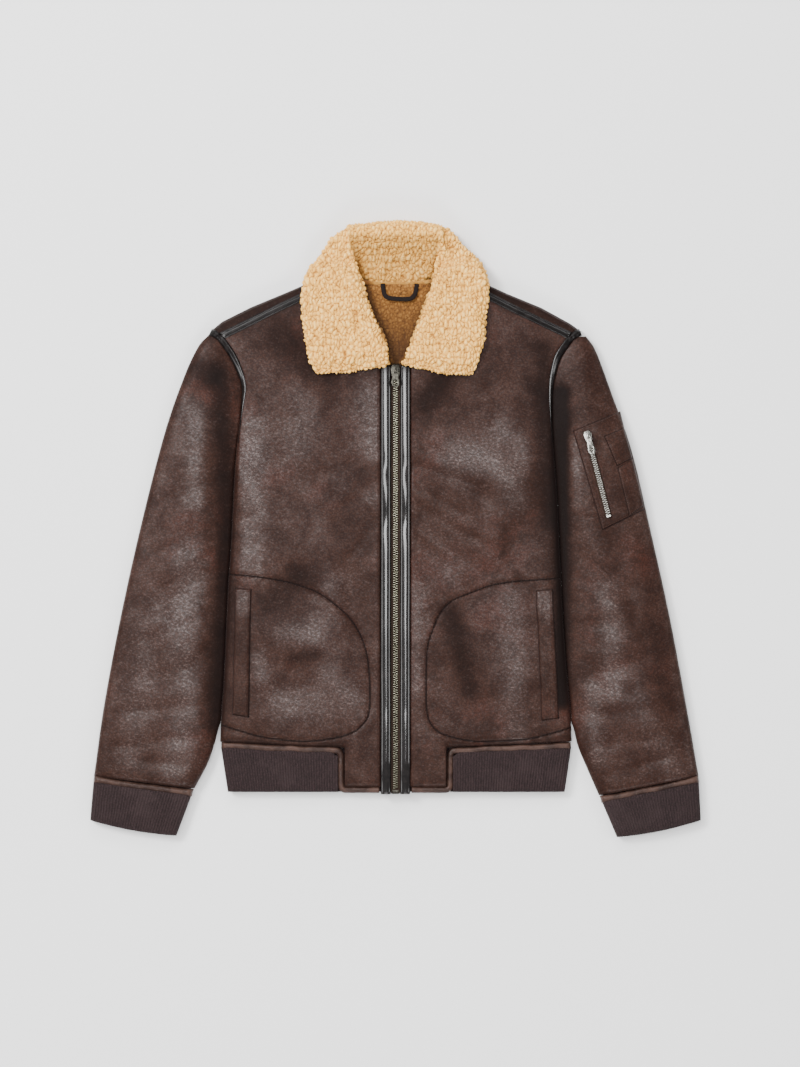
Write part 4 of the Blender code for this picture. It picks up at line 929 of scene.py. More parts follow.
def hem_welt(side):
    """Rolled leather between body and ribs, down the side of the tab and along under it."""
    s = sign_of(side)
    half = WELT_ROLL / 2
    start = {"L": -226.5, "R": 228.0}[side]
    down_x = s * (TAB_HALF + half + 0.6)
    foot_y = HEM_BOTTOM + half - 1.1
    x = np.linspace(start, down_x + s * 4.5, 64)
    line = np.stack([x, hem_line(x) - half - 0.3], axis=1)
    line[:, 1] += 0.9 * mottle(x, x * 0, 15, 33) * smooth(0, 12, np.abs(x - start))
    corner_y = hem_line(down_x) - half - 5
    bend = [(down_x + s * 1.5, corner_y + 1.8), (down_x + s * 0.2, corner_y - 1.5)]
    run_down = [(down_x + 0.4 * math.sin(t * 0.9), corner_y - 2 - t) for t in
                np.arange(2.0, corner_y - foot_y - 7, 2.5)]
    turn = [(down_x - s * 0.3, foot_y + 3.6), (down_x - s * 1.8, foot_y + 1.2), (down_x - s * 4.6, foot_y)]
    foot = [(v, foot_y) for v in np.arange(down_x - s * 7, s * (ZIP_HALF + 0.8), -s * 2.5)]
    line = even_line(np.vstack([line, bend, run_down, turn, foot]), 2.0)
    from_start = run_along(line)[:, None]

    def lift(across, run):
        full = 0.35 * WELT_RISE + 0.65 * WELT_RISE * half_round(across)
        full = np.minimum(full, LEAST_RISE + rounding(from_start, 9, 7.2))
        return full + ripple(run, across, 10, 35) * half_round(across) * rounding(from_start, 9, 1.0)

    rolled_edge("hem_welt_" + SIDE_NAMES[side], line, half + 0.3, lift)


# ------------------------------------------------------------------ what is sewn on the panels
def armhole_tape(side, on):
    """A black leather roll round the armhole, thinning out to nothing at the side."""
    s = sign_of(side)
    name = "armhole_tape_" + SIDE_NAMES[side]
    line = body_edge(side, np.linspace(0.4, 1, 400))
    line = line[(line[:, 1] > 112) & (line[:, 1] < 249)]
    line = line + np.array([[-s * 1.2, 0]])
    over_shoulder = [(s * 232.5, 252.3), (s * 236.5, 255.0), (s * 240.5, 256.8)]
    line = even_line(np.vstack([line, over_shoulder]), 2.5)[::-1]
    share = np.linspace(1, 0, len(line))
    half = 0.5 + 4.1 * smooth(0.05, 0.75, share)
    over_end = np.where(np.abs(line[:, 0]) > 229, 1.5, 99.0)
    high = (0.2 + 2.7 * smooth(0.05, 0.7, share))[:, None]

    def lift(across, run):
        return 0.15 + (high + 0.12 * mottle(run, across * 2, 14, 41)) * half_round(across)

    piece = band(name + "_roll", line, half, lift, bridged(on, 13), node=name, slot="black_leather",
                 look=BLACK, foot=over_end)
    y = places(piece)[1]
    store(piece, "shine", 0.06 + 0.85 * np.exp(-((y - 176) / 38) ** 2))


def shoulder_tape(side, on):
    """The black tape along the shoulder seam: a stitched cord in front, a softer one behind."""
    s = sign_of(side)
    name = "shoulder_tape_" + SIDE_NAMES[side]
    line = even_line([(s * 226.5, 251.0), (s * 104.0, 310.6)], 3.0)
    line[:, 1] += 0.5 * mottle(line[:, 0], line[:, 0] * 0, 30, 44)

    def lift(across, run):
        front = 1.5 * np.exp(-((s * across - 0.66) / 0.20) ** 2)
        back = 0.9 * np.exp(-((s * across + 0.74) / 0.20) ** 2)
        return 0.25 + front + back + 0.10 * mottle(run, across * 2, 14, 45)

    piece = band(name + "_strip", line, 5.0, lift, bridged(on, 15), columns=15, node=name,
                 slot="black_leather", look=BLACK)
    x, y, _ = places(piece)
    store(piece, "shine", 0.30 + 0.12 * mottle(x, y, 16, 71))
    row = on_top(beside(line, s * 3.3), Ground(piece), 0.05)
    stitches(name + "_stitches", row, THREAD, "black_leather", pitch=3.0, length=2.2, thick=0.5)


def rim_distance(piece, corners):
    """How far each of the piece's points is from the lines between its corners."""
    x, y, _ = places(piece)
    return away_from([*corners, corners[0]], x, y)[0]


POCKET_MOUTH = {            # outer top, inner top, inner end, outer end of the pocket welt
    "L": ((-208, -76), (-187, -77), (-190, -244), (-212, -240)),
    "R": ((204, -77), (182, -79), (189, -248), (212, -245)),
}


def pocket_welt(side, on):
    """The leather bar that edges a pocket's upright mouth, sewn down all round."""
    s = sign_of(side)
    name = "pocket_welt_" + SIDE_NAMES[side]
    rows, columns, length = 72, 12, 165
    down = np.linspace(0, 1, rows)[:, None]
    across = np.linspace(0, 1, columns)[None, :]
    spot = between_corners(POCKET_MOUTH[side], across[..., None], down[..., None])
    x, y = spot[:, :, 0], spot[:, :, 1]
    x = x + 0.5 * mottle(y, y * 0 + s * 30, 26, 61)
    from_end = np.minimum(down, 1 - down) * length
    ends = rounding(from_end, 3.5, 1.0)
    rise = 0.8 + 3.3 * rounding(np.minimum(across, 1 - across), 0.30, 1.0) * ends
    rise = rise + 0.35 * mottle(x, y, 14, 62) * ends
    rise = rise - 0.7 * np.exp(-((across - 0.5) / 0.3) ** 2) * smooth(40, 0, from_end) * ends
    rest = on.height(x, y)
    top = np.stack([x, y, rest + rise], axis=2)
    low = np.stack([x, y, rest - 0.5], axis=2)
    if s > 0:
        top, low = top[:, ::-1], low[:, ::-1]
    piece = shell(name + "_bar", top[::-1], low[::-1], node=name, slot="rolled_edge", look=SUEDE)
    # Painted highlight at the welt's top end, which the suede also draws glossier.
    polished = 0.75 * np.exp(-((places(piece)[1] - POCKET_MOUTH[side][0][1] + 16) / 20) ** 2) - 0.1
    store_wear_and_light(piece, rim_distance(piece, POCKET_MOUTH[side]), polished)


SLEEVE_ZIP = ((249, 121), (276, 17))
# Corners: inner top, outer top, outer end, inner end
PATCH = ((230, 128), (292.3, 153.8), (324.1, 26.5), (268, -1))
FLAP = ((270, 121), (297.2, 131.8), (308.0, 93), (287, 82))
PEN_POCKET = ((287.5, 80), (308.3, 92), (323.4, 32), (303, 17))


def laid(name, corners, rise, on, look, slot, node, edge=1.6):
    """A flat piece between four corners that go round, lying on what is under it."""
    spacing = 2.4
    a, b, _, d = (np.array(p, float) for p in corners)
    long, wide = np.linalg.norm(d - a), np.linalg.norm(b - a)
    down = np.linspace(0, 1, int(long / spacing) + 2)[:, None]
    across = np.linspace(0, 1, int(wide / spacing) + 2)[None, :]
    spot = between_corners(corners, across[..., None], down[..., None])
    x, y = spot[:, :, 0], spot[:, :, 1]
    rim = np.minimum(np.minimum(down, 1 - down) * long, np.minimum(across, 1 - across) * wide)
    rest = on.height(x, y)
    lift = (0.35 + (rise - 0.35) * rounding(rim, edge, 1.0)
            + 0.15 * mottle(x, y, 9, 66) * rounding(rim, 3, 1.0))
    top = np.stack([x, y, rest + lift], axis=2)[::-1]
    low = np.stack([x, y, rest - 0.3], axis=2)[::-1]
    piece = shell(name, top, low, node=node, slot=slot, look=look)
    # A little under 0: out of the painted highlights, a little darker and rougher.
    store_wear_and_light(piece, rim_distance(piece, corners), wear_and_light=-0.12)
    return piece


def sleeve_pocket(sleeve_piece):
    """The zipped pocket on the wearer's left sleeve: patch, zip, flap and pen pocket."""
    on = Ground(sleeve_piece)
    patch = laid("sleeve_patch_cloth", PATCH, 1.7, on, SUEDE, "suede", "sleeve_patch")
    on_patch = Ground(patch, sleeve_piece)
    flap = laid("sleeve_pen_flap_cloth", FLAP, 1.5, on_patch, SUEDE, "suede", "sleeve_pen_flap")
    pen = laid("sleeve_pen_pocket_cloth", PEN_POCKET, 1.5, on_patch, SUEDE, "suede", "sleeve_pen_pocket")
    on_all = Ground(patch, flap, pen, sleeve_piece)

    def sewn(label, route, inset=0.0):
        row = even_line(route, 2.0)
        if inset:
            row = beside(row, inset)
        stitches("sleeve_stitches_" + label, on_top(row, on_all, 0.12), BROWN_THREAD, "suede", pitch=2.8,
                 length=2.0, thick=0.30)

    sewn("patch", [PATCH[k] for k in (1, 0, 3, 2)], 2.0)
    sewn("flap", [FLAP[k] for k in (1, 0, 3, 2)], 1.8)
    sewn("pen", [PEN_POCKET[k] for k in (0, 3, 2)], 1.8)
    top, bottom = (np.array(p, float) for p in SLEEVE_ZIP)
    ahead = (bottom - top) / np.linalg.norm(bottom - top)
    across = np.array([-ahead[1], ahead[0]])
    for label, offset in (("near", 6.2), ("far", -6.2)):
        sewn("zip_" + label, [top + across * offset, bottom + across * offset + ahead * 2])
    half = across * 4.6
    corners = (top - half - ahead * 7, top + half - ahead * 7, bottom + half, bottom - half)
    lane = laid("sleeve_zip_lane", corners, 0.75, on_patch, TAPE, "zip_tape", (), edge=0.6)
    on_lane = Ground(lane)
    row_of_teeth("sleeve_zip_teeth", top + ahead * 5, bottom - ahead * 1.5,
                 lambda px, py: float(on_lane.height(px, py)) + 0.55, reach=2.9, pitch=2.9,
                 node="sleeve_zip_chain", look=BRIGHT_METAL, slot="bright_nickel")
    stop, stop_faces = rounded_box((6.4, 3.4, 2.0), math.atan2(across[1], across[0]))
    x, y = bottom - ahead * 0.5
    stop = stop + np.array([x, y, float(on_lane.height(x, y)) + 0.8])
    make_piece("sleeve_zip_stop", stop, stop_faces, slot="bright_nickel", look=BRIGHT_METAL, flat=True)


def neck_seam(on):
    """The rounded seam allowance where the collar meets the lining inside the neck."""
    line = even_line([(-62, 321.2), (-20, 320.2), (18, 320.4), (52, 322.0)], 1.5)
    high = np.maximum.reduce([on.height(line[:, 0], line[:, 1] + step) for step in (-4, -2, 0, 2, 4)])
    level = np.convolve(np.pad(high, 6, mode="edge"), np.ones(13) / 13, mode="valid")[:, None]

    def lift(across, run):
        curls = 0.35 * mottle(run, across * 3, 3.5, 47)
        return 0.6 + (2.2 + curls) * half_round(across * 0.98)

    piece = band("collar_neck_seam", line, 2.6, lift, lambda px, py: level - 3.0 + 0 * px, columns=11,
                 node="collar", slot="collar_pile", look=COLLAR_PILE)
    x, y, _ = places(piece)
    store(piece, "tuft", np.clip(0.50 + 0.35 * mottle(x, y, 3, 48), 0, 1))
    store(piece, "light", light_inside(x, y) - 0.34)


def hanger_loop():
    """A narrow woven strap sewn into the neck seam at both ends."""
    route = ((-16.6, 319.4, 15.9), (-15.8, 312, 17.6), (-14.0, 304.6, 18.6), (-9.0, 300.8, 19.0),
             (4, 299.2, 19.0), (17, 299.2, 19.0), (23.4, 302.6, 18.6), (26.6, 310.5, 17.6),
             (27.6, 319.0, 15.9))
    line = curve_at(route, np.linspace(0, 1, 60))

    def lift(across, run):
        return 0.3 + 0.7 * half_round(across) ** 0.4

    def ground(x, y):
        return line[:, 2:] + 0 * x

    band("hanger_loop_strap", line[:, :2], 2.9, lift, ground, columns=7, node="hanger_loop",
         slot="webbing", look=WEBBING)


BODY_OF = {"front_zip_pull": "front_pull", "sleeve_zip_pull": "sleeve_pull"}


# ------------------------------------------------------------------ materials
class Signal:
    """What comes out of a shader node, with ordinary arithmetic on it."""

    def __init__(self, look, socket):
        self.look = look
        self.socket = socket

    def maths(self, operation, *values):
        return self.look.node("ShaderNodeMath", {"operation": operation}, dict(enumerate(values)))

    def __add__(self, other):
        return self.maths("ADD", self, other)

    def __sub__(self, other):
        return self.maths("SUBTRACT", self, other)

    def __rsub__(self, other):
        return self.maths("SUBTRACT", other, self)

    def __mul__(self, other):
        return self.maths("MULTIPLY", self, other)

    def __abs__(self):
        return self.maths("ABSOLUTE", self)

    __radd__ = __add__
    __rmul__ = __mul__

    def sine(self):
        return self.maths("SINE", self)

    def between(self, low, high):
        """0 below low, 1 above high and smooth in the middle; falls instead where low is over high."""
        falls = low > high
        return self.look.node("ShaderNodeMapRange", {"interpolation_type": "SMOOTHSTEP"},
                              {0: self, 1: min(low, high), 2: max(low, high), 3: float(falls),
                               4: float(not falls)})


class Look:
    """A material being made; node() adds any node and gives back what comes out of it."""

    def __init__(self, name, **plain):
        self.material = bpy.data.materials.new(name)
        self.material.use_nodes = True
        self.tree = self.material.node_tree
        self.shader = self.tree.nodes["Principled BSDF"]
        for socket, value in plain.items():
            self.shader.inputs[socket.replace("_", " ")].default_value = value

    def node(self, kind, settings=None, inputs=None, output=0):
        made = self.tree.nodes.new(kind)
        for key, value in (settings or {}).items():
            setattr(made, key, value)
        for key, value in (inputs or {}).items():
            if isinstance(value, Signal):
                self.tree.links.new(value.socket, made.inputs[key])
            else:
                made.inputs[key].default_value = value
        return Signal(self, made.outputs[output])

    def place(self):
        """Where a point is on the garment, in metres."""
        return self.node("ShaderNodeTexCoord", output=3)

    def stored(self, name):
        """A number kept at the piece's points."""
        return self.node("ShaderNodeAttribute", {"attribute_name": name}, output=2)

    def noise(self, place, size, detail, roughness, distortion=0.0):
        """Uneven 0 to 1, with spots about size millimetres across."""
        return self.node("ShaderNodeTexNoise", inputs={
            "Vector": place, "Scale": 0.6 / (size * MM), "Detail": detail, "Roughness": roughness,
            "Distortion": distortion})

    def cells(self, place, size):
        """Soft round cells about size millimetres across, 0 in their middle."""
        return self.node("ShaderNodeTexVoronoi", {"feature": "SMOOTH_F1"}, {
            "Vector": place, "Scale": 1 / (size * MM), "Randomness": 1.0, "Smoothness": 0.6})

    def blend(self, share, first, second):
        """The first colour, turning to the second as share goes from 0 to 1."""
        def colour(value):
            return value if isinstance(value, Signal) else (*value, 1.0)
        return self.node("ShaderNodeMix", {"data_type": "RGBA"},
                         {0: share, 6: colour(first), 7: colour(second)}, output=2)

    def bump(self, height, depth, under=None):
        """Raise the surface by height times depth millimetres."""
        inputs = {"Height": height, "Distance": depth * MM, "Strength": 1.0}
        if under is not None:
            inputs["Normal"] = under
        return self.node("ShaderNodeBump", inputs=inputs)

    def wear(self, **sockets):
        """Join what was made to the shader and give back the material."""
        for socket, value in sockets.items():
            self.tree.links.new(value.socket, self.shader.inputs[socket.replace("_", " ")])
        return self.material


def suede_look():
    """Worn brown suede: finely pebbled, red-brown where the finish has gone, glossier where it is worn,
    paler with painted highlight and darker with painted shade and shadow.
    """
    look = Look("worn_suede", Sheen_Weight=0.03, Sheen_Roughness=0.5, Sheen_Tint=(0.85, 0.62, 0.60, 1),
                Specular_IOR_Level=0.07, Coat_Roughness=0.36, Coat_Tint=(1.0, 0.94, 0.93, 1))
    place = look.place()
    broad = look.noise(place, 60, 3, 0.6)
    cloud = look.noise(place, 22, 4, 0.65, 0.4)
    slanted = look.node("ShaderNodeMapping", inputs={0: place, 2: (0, 0, 0.7), 3: (1.0, 1.5, 1.0)})
    speck = look.noise(slanted, 2.4, 3, 0.7)
    wander = look.node("ShaderNodeTexNoise", inputs={"Vector": place, "Scale": 260.0}, output=1)
    wander = look.node("ShaderNodeVectorMath", {"operation": "SCALE"}, {0: wander, "Scale": 0.0016})
    wandered = look.node("ShaderNodeVectorMath", {"operation": "ADD"}, {0: place, 1: wander})
    pebble = look.cells(wandered, 2.1)
    # The stored wear and painted light with cloud noise: over 0 glossier and painted paler as highlight,
    # under 0 rougher and painted darker as shade, and far under 0 painted shadow.
    wear_and_light = look.stored("wear_and_light") + (cloud - 0.5) * 1.1
    pale = wear_and_light.between(-0.25, 1.05)
    dull_and_shaded = wear_and_light.between(0.0, -1.0)
    shaded = wear_and_light.between(-0.7, -1.7)
    red = broad.between(0.52, 0.68) * cloud.between(0.42, 0.60)
    colour = look.blend(cloud.between(0.35, 0.62), (0.0185, 0.0068, 0.0042), (0.0290, 0.0120, 0.0080))
    colour = look.blend(red * 0.45, colour, (0.0420, 0.0100, 0.0056))
    # Painted highlight: a pale purple-grey sheen in the colour.
    colour = look.blend(pale * 0.6, colour, (0.0400, 0.0225, 0.0185))
    # Painted shade, and below it painted shadow beside the body and under the collar.
    colour = look.blend(dull_and_shaded * 0.8, colour, (0.0080, 0.0030, 0.0020))
    colour = look.blend(shaded * 0.9, colour, (0.0026, 0.0011, 0.0009))
    # Pale flecks of scuffed grain, most of them inside the painted highlights, where they also stand as
    # painted glints.
    specks = speck.between(0.54, 0.70) * (1 - shaded) * (0.12 + pale * 0.50)
    colour = look.blend(specks, colour, (0.110, 0.075, 0.068))
    colour = look.blend(pebble.between(0.30, 0.62) * 0.45, colour, (0.0050, 0.0024, 0.0019))
    groove = abs(look.stored("seam")).between(1.5, 0.0)
    colour = look.blend(groove * 0.8, colour, (0.003, 0.0015, 0.0012))
    rough = 0.52 + dull_and_shaded * 0.14 + pebble.between(0.2, 0.7) * 0.05
    glint = (0.09 + pale * 0.53) * (0.35 + speck.between(0.42, 0.62) * 0.65) * (1 - dull_and_shaded * 0.8)
    height = (1 - pebble.between(0.05, 0.75)) * 0.5 + speck * 0.5
    normal = look.bump(height, 0.22)
    normal = look.bump(look.noise(place, 7, 2, 0.55, 0.3), 0.35, normal)
    normal = look.bump(1 - groove, 0.8, normal)
    return look.wear(Base_Color=colour, Roughness=rough, Coat_Weight=glint, Normal=normal)


def black_leather_look():
    """Smooth black leather, polished where the "shine" of a piece says so."""
    look = Look("black_leather", Coat_Roughness=0.13, Coat_IOR=1.62, Specular_IOR_Level=0.06)
    place = look.place()
    worn_spots = look.noise(place, 5, 3, 0.6)
    colour = look.blend(worn_spots.between(0.45, 0.7), (0.0040, 0.0030, 0.0029), (0.0100, 0.0078, 0.0076))
    rough = 0.34 + worn_spots * 0.14
    normal = look.bump(look.cells(place, 0.9), 0.08)
    normal = look.bump(worn_spots, 0.08, normal)
    return look.wear(Base_Color=colour, Roughness=rough, Coat_Weight=look.stored("shine"), Normal=normal)


def rolled_edge_look():
    """Brown leather with a soft gloss, paler in patches."""
    look = Look("rolled_edge", Specular_IOR_Level=0.16, Sheen_Weight=0.04, Sheen_Roughness=0.4,
                Sheen_Tint=(0.8, 0.62, 0.64, 1))
    place = look.place()
    cloud = look.noise(place, 14, 4, 0.65)
    speck = look.noise(place, 1.8, 3, 0.7)
    colour = look.blend(cloud.between(0.38, 0.62), (0.020, 0.0098, 0.0072), (0.050, 0.0265, 0.0200))
    colour = look.blend(speck.between(0.57, 0.72) * 0.5, colour, (0.090, 0.062, 0.051))
    normal = look.bump(look.cells(place, 1.9), 0.22)
    normal = look.bump(cloud, 0.8, normal)
    return look.wear(Base_Color=colour, Roughness=0.40 + cloud * 0.15, Normal=normal)


def rib_look():
    """Matt knitted ribbing with a little fuzz."""
    look = Look("ribbed_knit", Sheen_Weight=0.035, Sheen_Roughness=0.6, Sheen_Tint=(0.6, 0.46, 0.50, 1),
                Specular_IOR_Level=0.22)
    place = look.place()
    fuzz = look.noise(place, 1.1, 4, 0.7)
    patch = look.noise(place, 18, 2, 0.5)
    colour = look.blend(fuzz.between(0.40, 0.66), (0.0070, 0.0031, 0.0032), (0.0235, 0.0128, 0.0134))
    colour = look.blend(patch.between(0.45, 0.65) * 0.3, colour, (0.0265, 0.0158, 0.0160))
    normal = look.bump(fuzz, 0.5)
    return look.wear(Base_Color=colour, Normal=normal, Roughness=0.82 + fuzz * 0.14)


def pile_look(name, deep, middle, tip, lowest):
    """Curly pile: pale tips over darker roots, with the creases between nubs darkened partly in the pile's
    own colour and partly as painted shade, turning to the lowest colour where little light comes.
    """
    look = Look(name, Sheen_Weight=0.08, Sheen_Roughness=0.7, Sheen_Tint=(1.0, 0.88, 0.70, 1),
                Specular_IOR_Level=0.12)
    place = look.place()
    tuft = look.stored("tuft")
    fine = look.noise(place, 1.3, 4, 0.7)
    colour = look.blend(tuft.between(0.02, 0.50), deep, middle)
    colour = look.blend(tuft.between(0.45, 0.95) * fine.between(0.30, 0.60), colour, tip)
    colour = look.blend((1 - look.stored("light")) * 0.93, colour, lowest)
    normal = look.bump(fine, 0.8)
    return look.wear(Base_Color=colour, Normal=normal, Roughness=0.80 + fine * 0.15)


def metal_look(name, pale, dark, roughness):
    """Plated metal, paler where it is worn."""
    look = Look(name, Metallic=1.0)
    place = look.place()
    wear_and_light = look.noise(place, 1.6, 3, 0.6)
    colour = look.blend(wear_and_light.between(0.30, 0.66), dark, pale)
    normal = look.bump(wear_and_light, 0.02)
    return look.wear(Base_Color=colour, Roughness=roughness + wear_and_light * 0.14, Normal=normal)


def woven_look(name, colour, dark):
    """Fine tape, webbing or thread, dark between its threads."""
    look = Look(name, Specular_IOR_Level=0.15)
    place = look.place()
    warp = (look.node("ShaderNodeSeparateXYZ", inputs={0: place}) * 5200).sine()
    weft = (look.node("ShaderNodeSeparateXYZ", inputs={0: place}, output=1) * 4300).sine()
    weave = warp * weft
    spots = look.noise(place, 1.5, 3, 0.6)
    shade = look.blend(weave.between(-0.6, 0.7), dark, colour)
    shade = look.blend(spots.between(0.5, 0.75) * 0.4, shade, colour)
    return look.wear(Base_Color=shade, Normal=look.bump(weave, 0.12), Roughness=0.72 + spots * 0.2)


def floor_look():
    """The pale paper under the jacket."""
    look = Look("studio_floor", Specular_IOR_Level=0.2)
    grain = look.noise(look.place(), 400, 2, 0.5)
    colour = look.blend(grain, (0.80, 0.80, 0.80), (0.83, 0.83, 0.83))
    return look.wear(Base_Color=colour, Roughness=0.75 + grain * 0.05)


SUEDE = suede_look()
BLACK = black_leather_look()
ROLLED = rolled_edge_look()
RIBBED = rib_look()
COLLAR_PILE = pile_look("collar_pile", (0.22, 0.070, 0.007), (0.75, 0.385, 0.072), (0.93, 0.625, 0.200),
                        (0.115, 0.040, 0.004))
LINING_PILE = pile_look("lining_pile", (0.07, 0.022, 0.0025), (0.25, 0.098, 0.0155), (0.46, 0.220, 0.050),
                        (0.017, 0.0047, 0.0006))
TAPE = woven_look("zip_tape_weave", (0.026, 0.0145, 0.0095), (0.011, 0.0062, 0.0042))
WEBBING = woven_look("hanger_webbing", (0.0090, 0.0052, 0.0045), (0.0036, 0.0021, 0.0018))
THREAD = woven_look("black_thread", (0.020, 0.017, 0.016), (0.008, 0.007, 0.007))
BROWN_THREAD = woven_look("brown_thread", (0.070, 0.040, 0.034), (0.030, 0.016, 0.013))
DARK_METAL = metal_look("dark_nickel", (0.050, 0.047, 0.039), (0.018, 0.017, 0.014), 0.22)
BRIGHT_METAL = metal_look("bright_nickel", (0.24, 0.235, 0.215), (0.18, 0.176, 0.160), 0.20)
BRASS_GREY = metal_look("zip_teeth_metal", (0.200, 0.196, 0.150), (0.090, 0.088, 0.062), 0.24)


# ------------------------------------------------------------------ the whole jacket
NODES = frame["nodes"]
fronts = {}
for side_key in "LR":
    fronts[side_key] = [*front_and_pocket(side_key), upper_sleeve(side_key)]
PLAIN = {
    "suede": (SUEDE, ("back", "sleeve_left_under", "sleeve_right_under")),
    "rolled_edge": (ROLLED, ("hem_welt_back", "cuff_welt_left_under", "cuff_welt_right_under")),
    "rib_knit": (RIBBED, ("hem_rib_back", "cuff_rib_left_under", "cuff_rib_right_under")),
    "zip_tape": (TAPE, ("zip_tape",)),
}
plain = {}
for slot_name, (own_look, names) in PLAIN.items():
    for node_name in names:
        plain[node_name] = finer(node_name, own_look, slot_name)
        if own_look is SUEDE:
            store_wear_and_light(plain[node_name])
for side_key in "LR":
    below = Ground(*fronts[side_key], plain["back"])
    placket(side_key)
    hem_welt(side_key)
    hem_rib(side_key)
    cuff(side_key)
    armhole_tape(side_key, below)
    shoulder_tape(side_key, below)
    pocket_welt(side_key, Ground(*fronts[side_key][:2]))
sleeve_pocket(fronts["R"][2])
collar_pile = pile("collar", grain=1.02, size=4.9, rise=3.6, seed=101, look=COLLAR_PILE,
                   slot="collar_pile", stretch=(1.10, 0.62, 1.0))
lining_pile = pile("back_neck_lining", grain=1.1, size=4.0, rise=1.7, seed=151, look=LINING_PILE,
                   slot="lining_pile")
neck_seam(Ground(collar_pile, lining_pile))
hanger_loop()
row_of_teeth("front_zip_teeth", (0, 199), (0, -337), lambda x, y: float(centre_level(y)) - 1.6,
             reach=3.0, pitch=3.0, node="zip_chain", look=BRASS_GREY, slot="dark_nickel")
for node_name in ("front_zip_slider", "front_zip_stop", "front_zip_pull"):
    smooth_metal(node_name, DARK_METAL)
for node_name in ("sleeve_zip_slider", "sleeve_zip_pull"):
    smooth_metal(node_name, BRIGHT_METAL)

# Cloth pieces as cut: width, length and flat area in metres, how they lie, and on what. Of the rolled
# strips this is what shows. A star stands for left and then right.
SHEETS = (
    ("back_cloth", ((0.482, 0.615, 0.262),), "laid", ()),
    ("front_*_cloth", ((0.210, 0.664, 0.088),) * 2, "laid", ("back",)),
    ("pocket_panel_*_cloth", ((0.195, 0.219, 0.0385), (0.189, 0.214, 0.0380)), "laid", ("back",)),
    ("sleeve_*_upper_cloth", ((0.160, 0.600, 0.0725), (0.160, 0.605, 0.0728)),
     "folded", ("sleeve_*_under",)),
    ("sleeve_*_under_cloth", ((0.160, 0.600, 0.0720), (0.160, 0.605, 0.0723)), "folded", ()),
    ("collar_pile", ((0.500, 0.105, 0.0460),),
     "folded", ("back_neck_lining", "front_left", "front_right")),
    ("back_neck_lining_pile", ((0.127, 0.110, 0.0086),), "laid", ("back",)),
    ("cuff_rib_*_knit", ((0.132, 0.062, 0.0079), (0.129, 0.060, 0.0075)),
     "folded", ("cuff_rib_*_under",)),
    ("cuff_rib_*_under_cloth", ((0.132, 0.062, 0.0077), (0.129, 0.060, 0.0073)), "folded", ()),
    ("cuff_welt_*_roll", ((0.0156, 0.132, None), (0.0156, 0.130, None)),
     "folded", ("cuff_welt_*_under",)),
    ("cuff_welt_*_under_cloth", ((0.0180, 0.132, None), (0.0178, 0.130, None)), "folded", ()),
    ("hem_rib_back_cloth", ((0.454, 0.060, None),), "laid", ()),
    ("hem_rib_*_knit", ((0.153, 0.060, None), (0.154, 0.060, None)), "laid", ("hem_rib_back",)),
    ("hem_welt_back_cloth", ((0.0176, 0.454, None),), "folded", ()),
    ("hem_welt_*_roll", ((0.0127, 0.262, None), (0.0128, 0.264, None)),
     "folded", ("hem_rib_back", "hem_welt_back")),
    ("zip_placket_*_strip", ((0.0240, 0.556, None),) * 2, "folded", ("back",)),
    ("zip_tape_cloth", ((0.0140, 0.556, None),), "laid", ("back",)),
    ("armhole_tape_*_roll", ((0.0112, 0.163, None), (0.0110, 0.160, None)),
     "folded", ("front_*", "sleeve_*_upper")),
    ("shoulder_tape_*_strip", ((0.0117, 0.137, None),) * 2, "laid", ("front_*", "back")),
    ("pocket_welt_*_bar", ((0.0240, 0.168, None), (0.0255, 0.171, None)), "folded", ("pocket_panel_*",)),
    ("sleeve_patch_cloth", ((0.0665, 0.130, None),), "laid", ("sleeve_right_upper",)),
    ("sleeve_pen_flap_cloth", ((0.0275, 0.041, None),), "laid", ("sleeve_patch",)),
    ("sleeve_pen_pocket_cloth", ((0.0225, 0.067, None),), "laid", ("sleeve_patch",)),
    ("sleeve_zip_lane", ((0.0102, 0.108, None),), "laid", ("sleeve_patch",)),
)
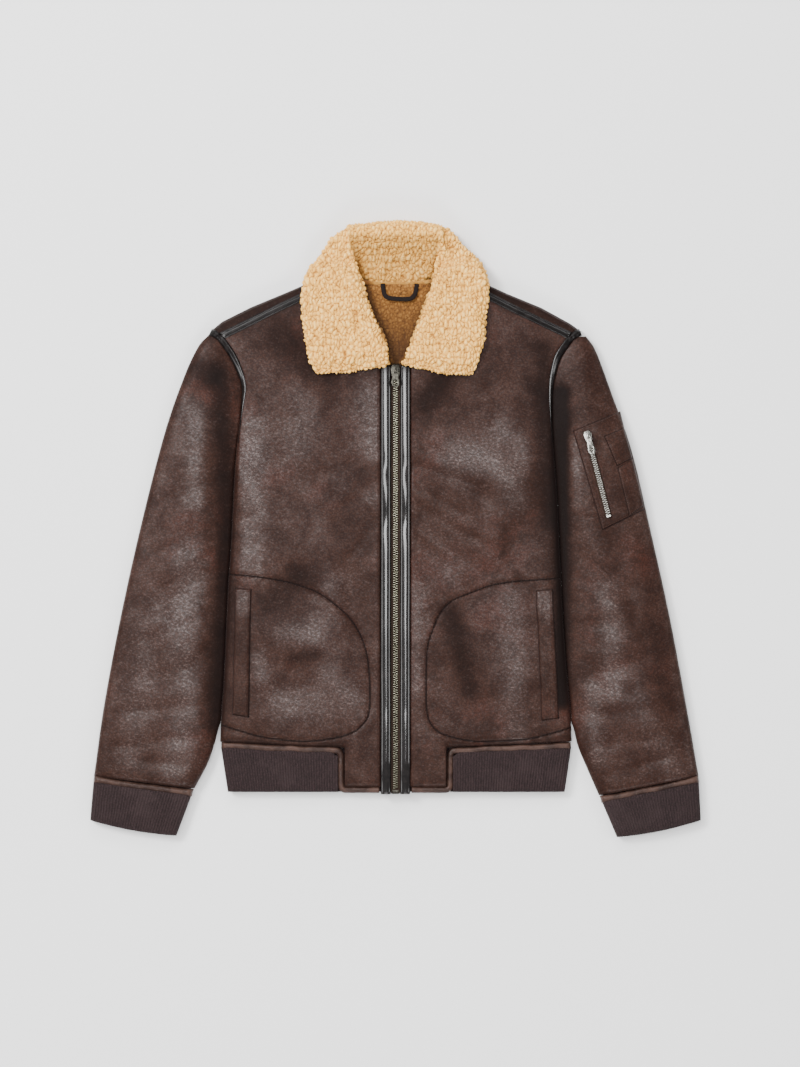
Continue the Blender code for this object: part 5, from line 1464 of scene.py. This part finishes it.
for pattern, cuts, held, rests_on in SHEETS:
    for side_name, (width, length, area) in zip(("left", "right"), cuts):
        bpy.data.objects[pattern.replace("*", side_name)]
        tuple(node.replace("*", side_name) for node in rests_on)


# ------------------------------------------------------------------ the studio
def lamp(name, place, towards, size, radiance):
    """A rectangular softbox of even brightness."""
    light = bpy.data.lights.new(name, "AREA")
    light.shape = "RECTANGLE"
    light.size, light.size_y = size
    light.energy = radiance * math.pi * size[0] * size[1]
    made = add(name, light)
    made.location = place
    made.rotation_euler = (Vector(towards) - made.location).to_track_quat("-Z", "Y").to_euler()


def studio():
    """A pale floor, softboxes, a dim white sky and the camera straight above."""
    reach, level = 6, -0.0005
    mesh = bpy.data.meshes.new("floor")
    mesh.from_pydata([(x * reach, y * reach, level) for x, y in ((-1, -1), (1, -1), (1, 1), (-1, 1))], [],
                     [(0, 1, 2, 3)])
    floor = add("floor", mesh)
    mesh.materials.append(floor_look())
    lamp("key", (-3.0, 2.2, 4.0), (0, 0, 0), (1.5, 1.5), 58.0)
    lamp("overhead", (-0.38, 0.35, 3.5), (-0.1, 0.2, 0), (0.75, 2.3), 17.0)
    for name, place, radiance in (("fill_east", (3.4, 0.3, 2.6), 6.5),
                                  ("fill_west", (-3.4, -0.3, 2.6), 5.5),
                                  ("fill_south", (0.2, -3.4, 2.6), 13.0),
                                  ("fill_north", (-0.2, 3.4, 2.6), 12.0)):
        lamp(name, place, (0, 0, 0), (2.2, 1.4), radiance)
    world = bpy.data.worlds.new("studio")
    world.use_nodes = True
    sky = world.node_tree.nodes["Background"]
    sky.inputs["Color"].default_value = (1.0, 1.0, 1.0, 1.0)
    sky.inputs["Strength"].default_value = 0.35
    bpy.context.scene.world = world
    eye = bpy.data.cameras.new("camera")
    eye.sensor_fit = "VERTICAL"
    eye.sensor_height = 24.0
    distance, seen = 4.0, 1.3871    # metres: to the jacket's middle height, and shown from top to bottom
    eye.lens = eye.sensor_height * distance / seen
    camera = add("camera", eye)
    camera.location = (0.00585, -0.0052, distance + 0.012)
    bpy.context.scene.camera = camera


studio()
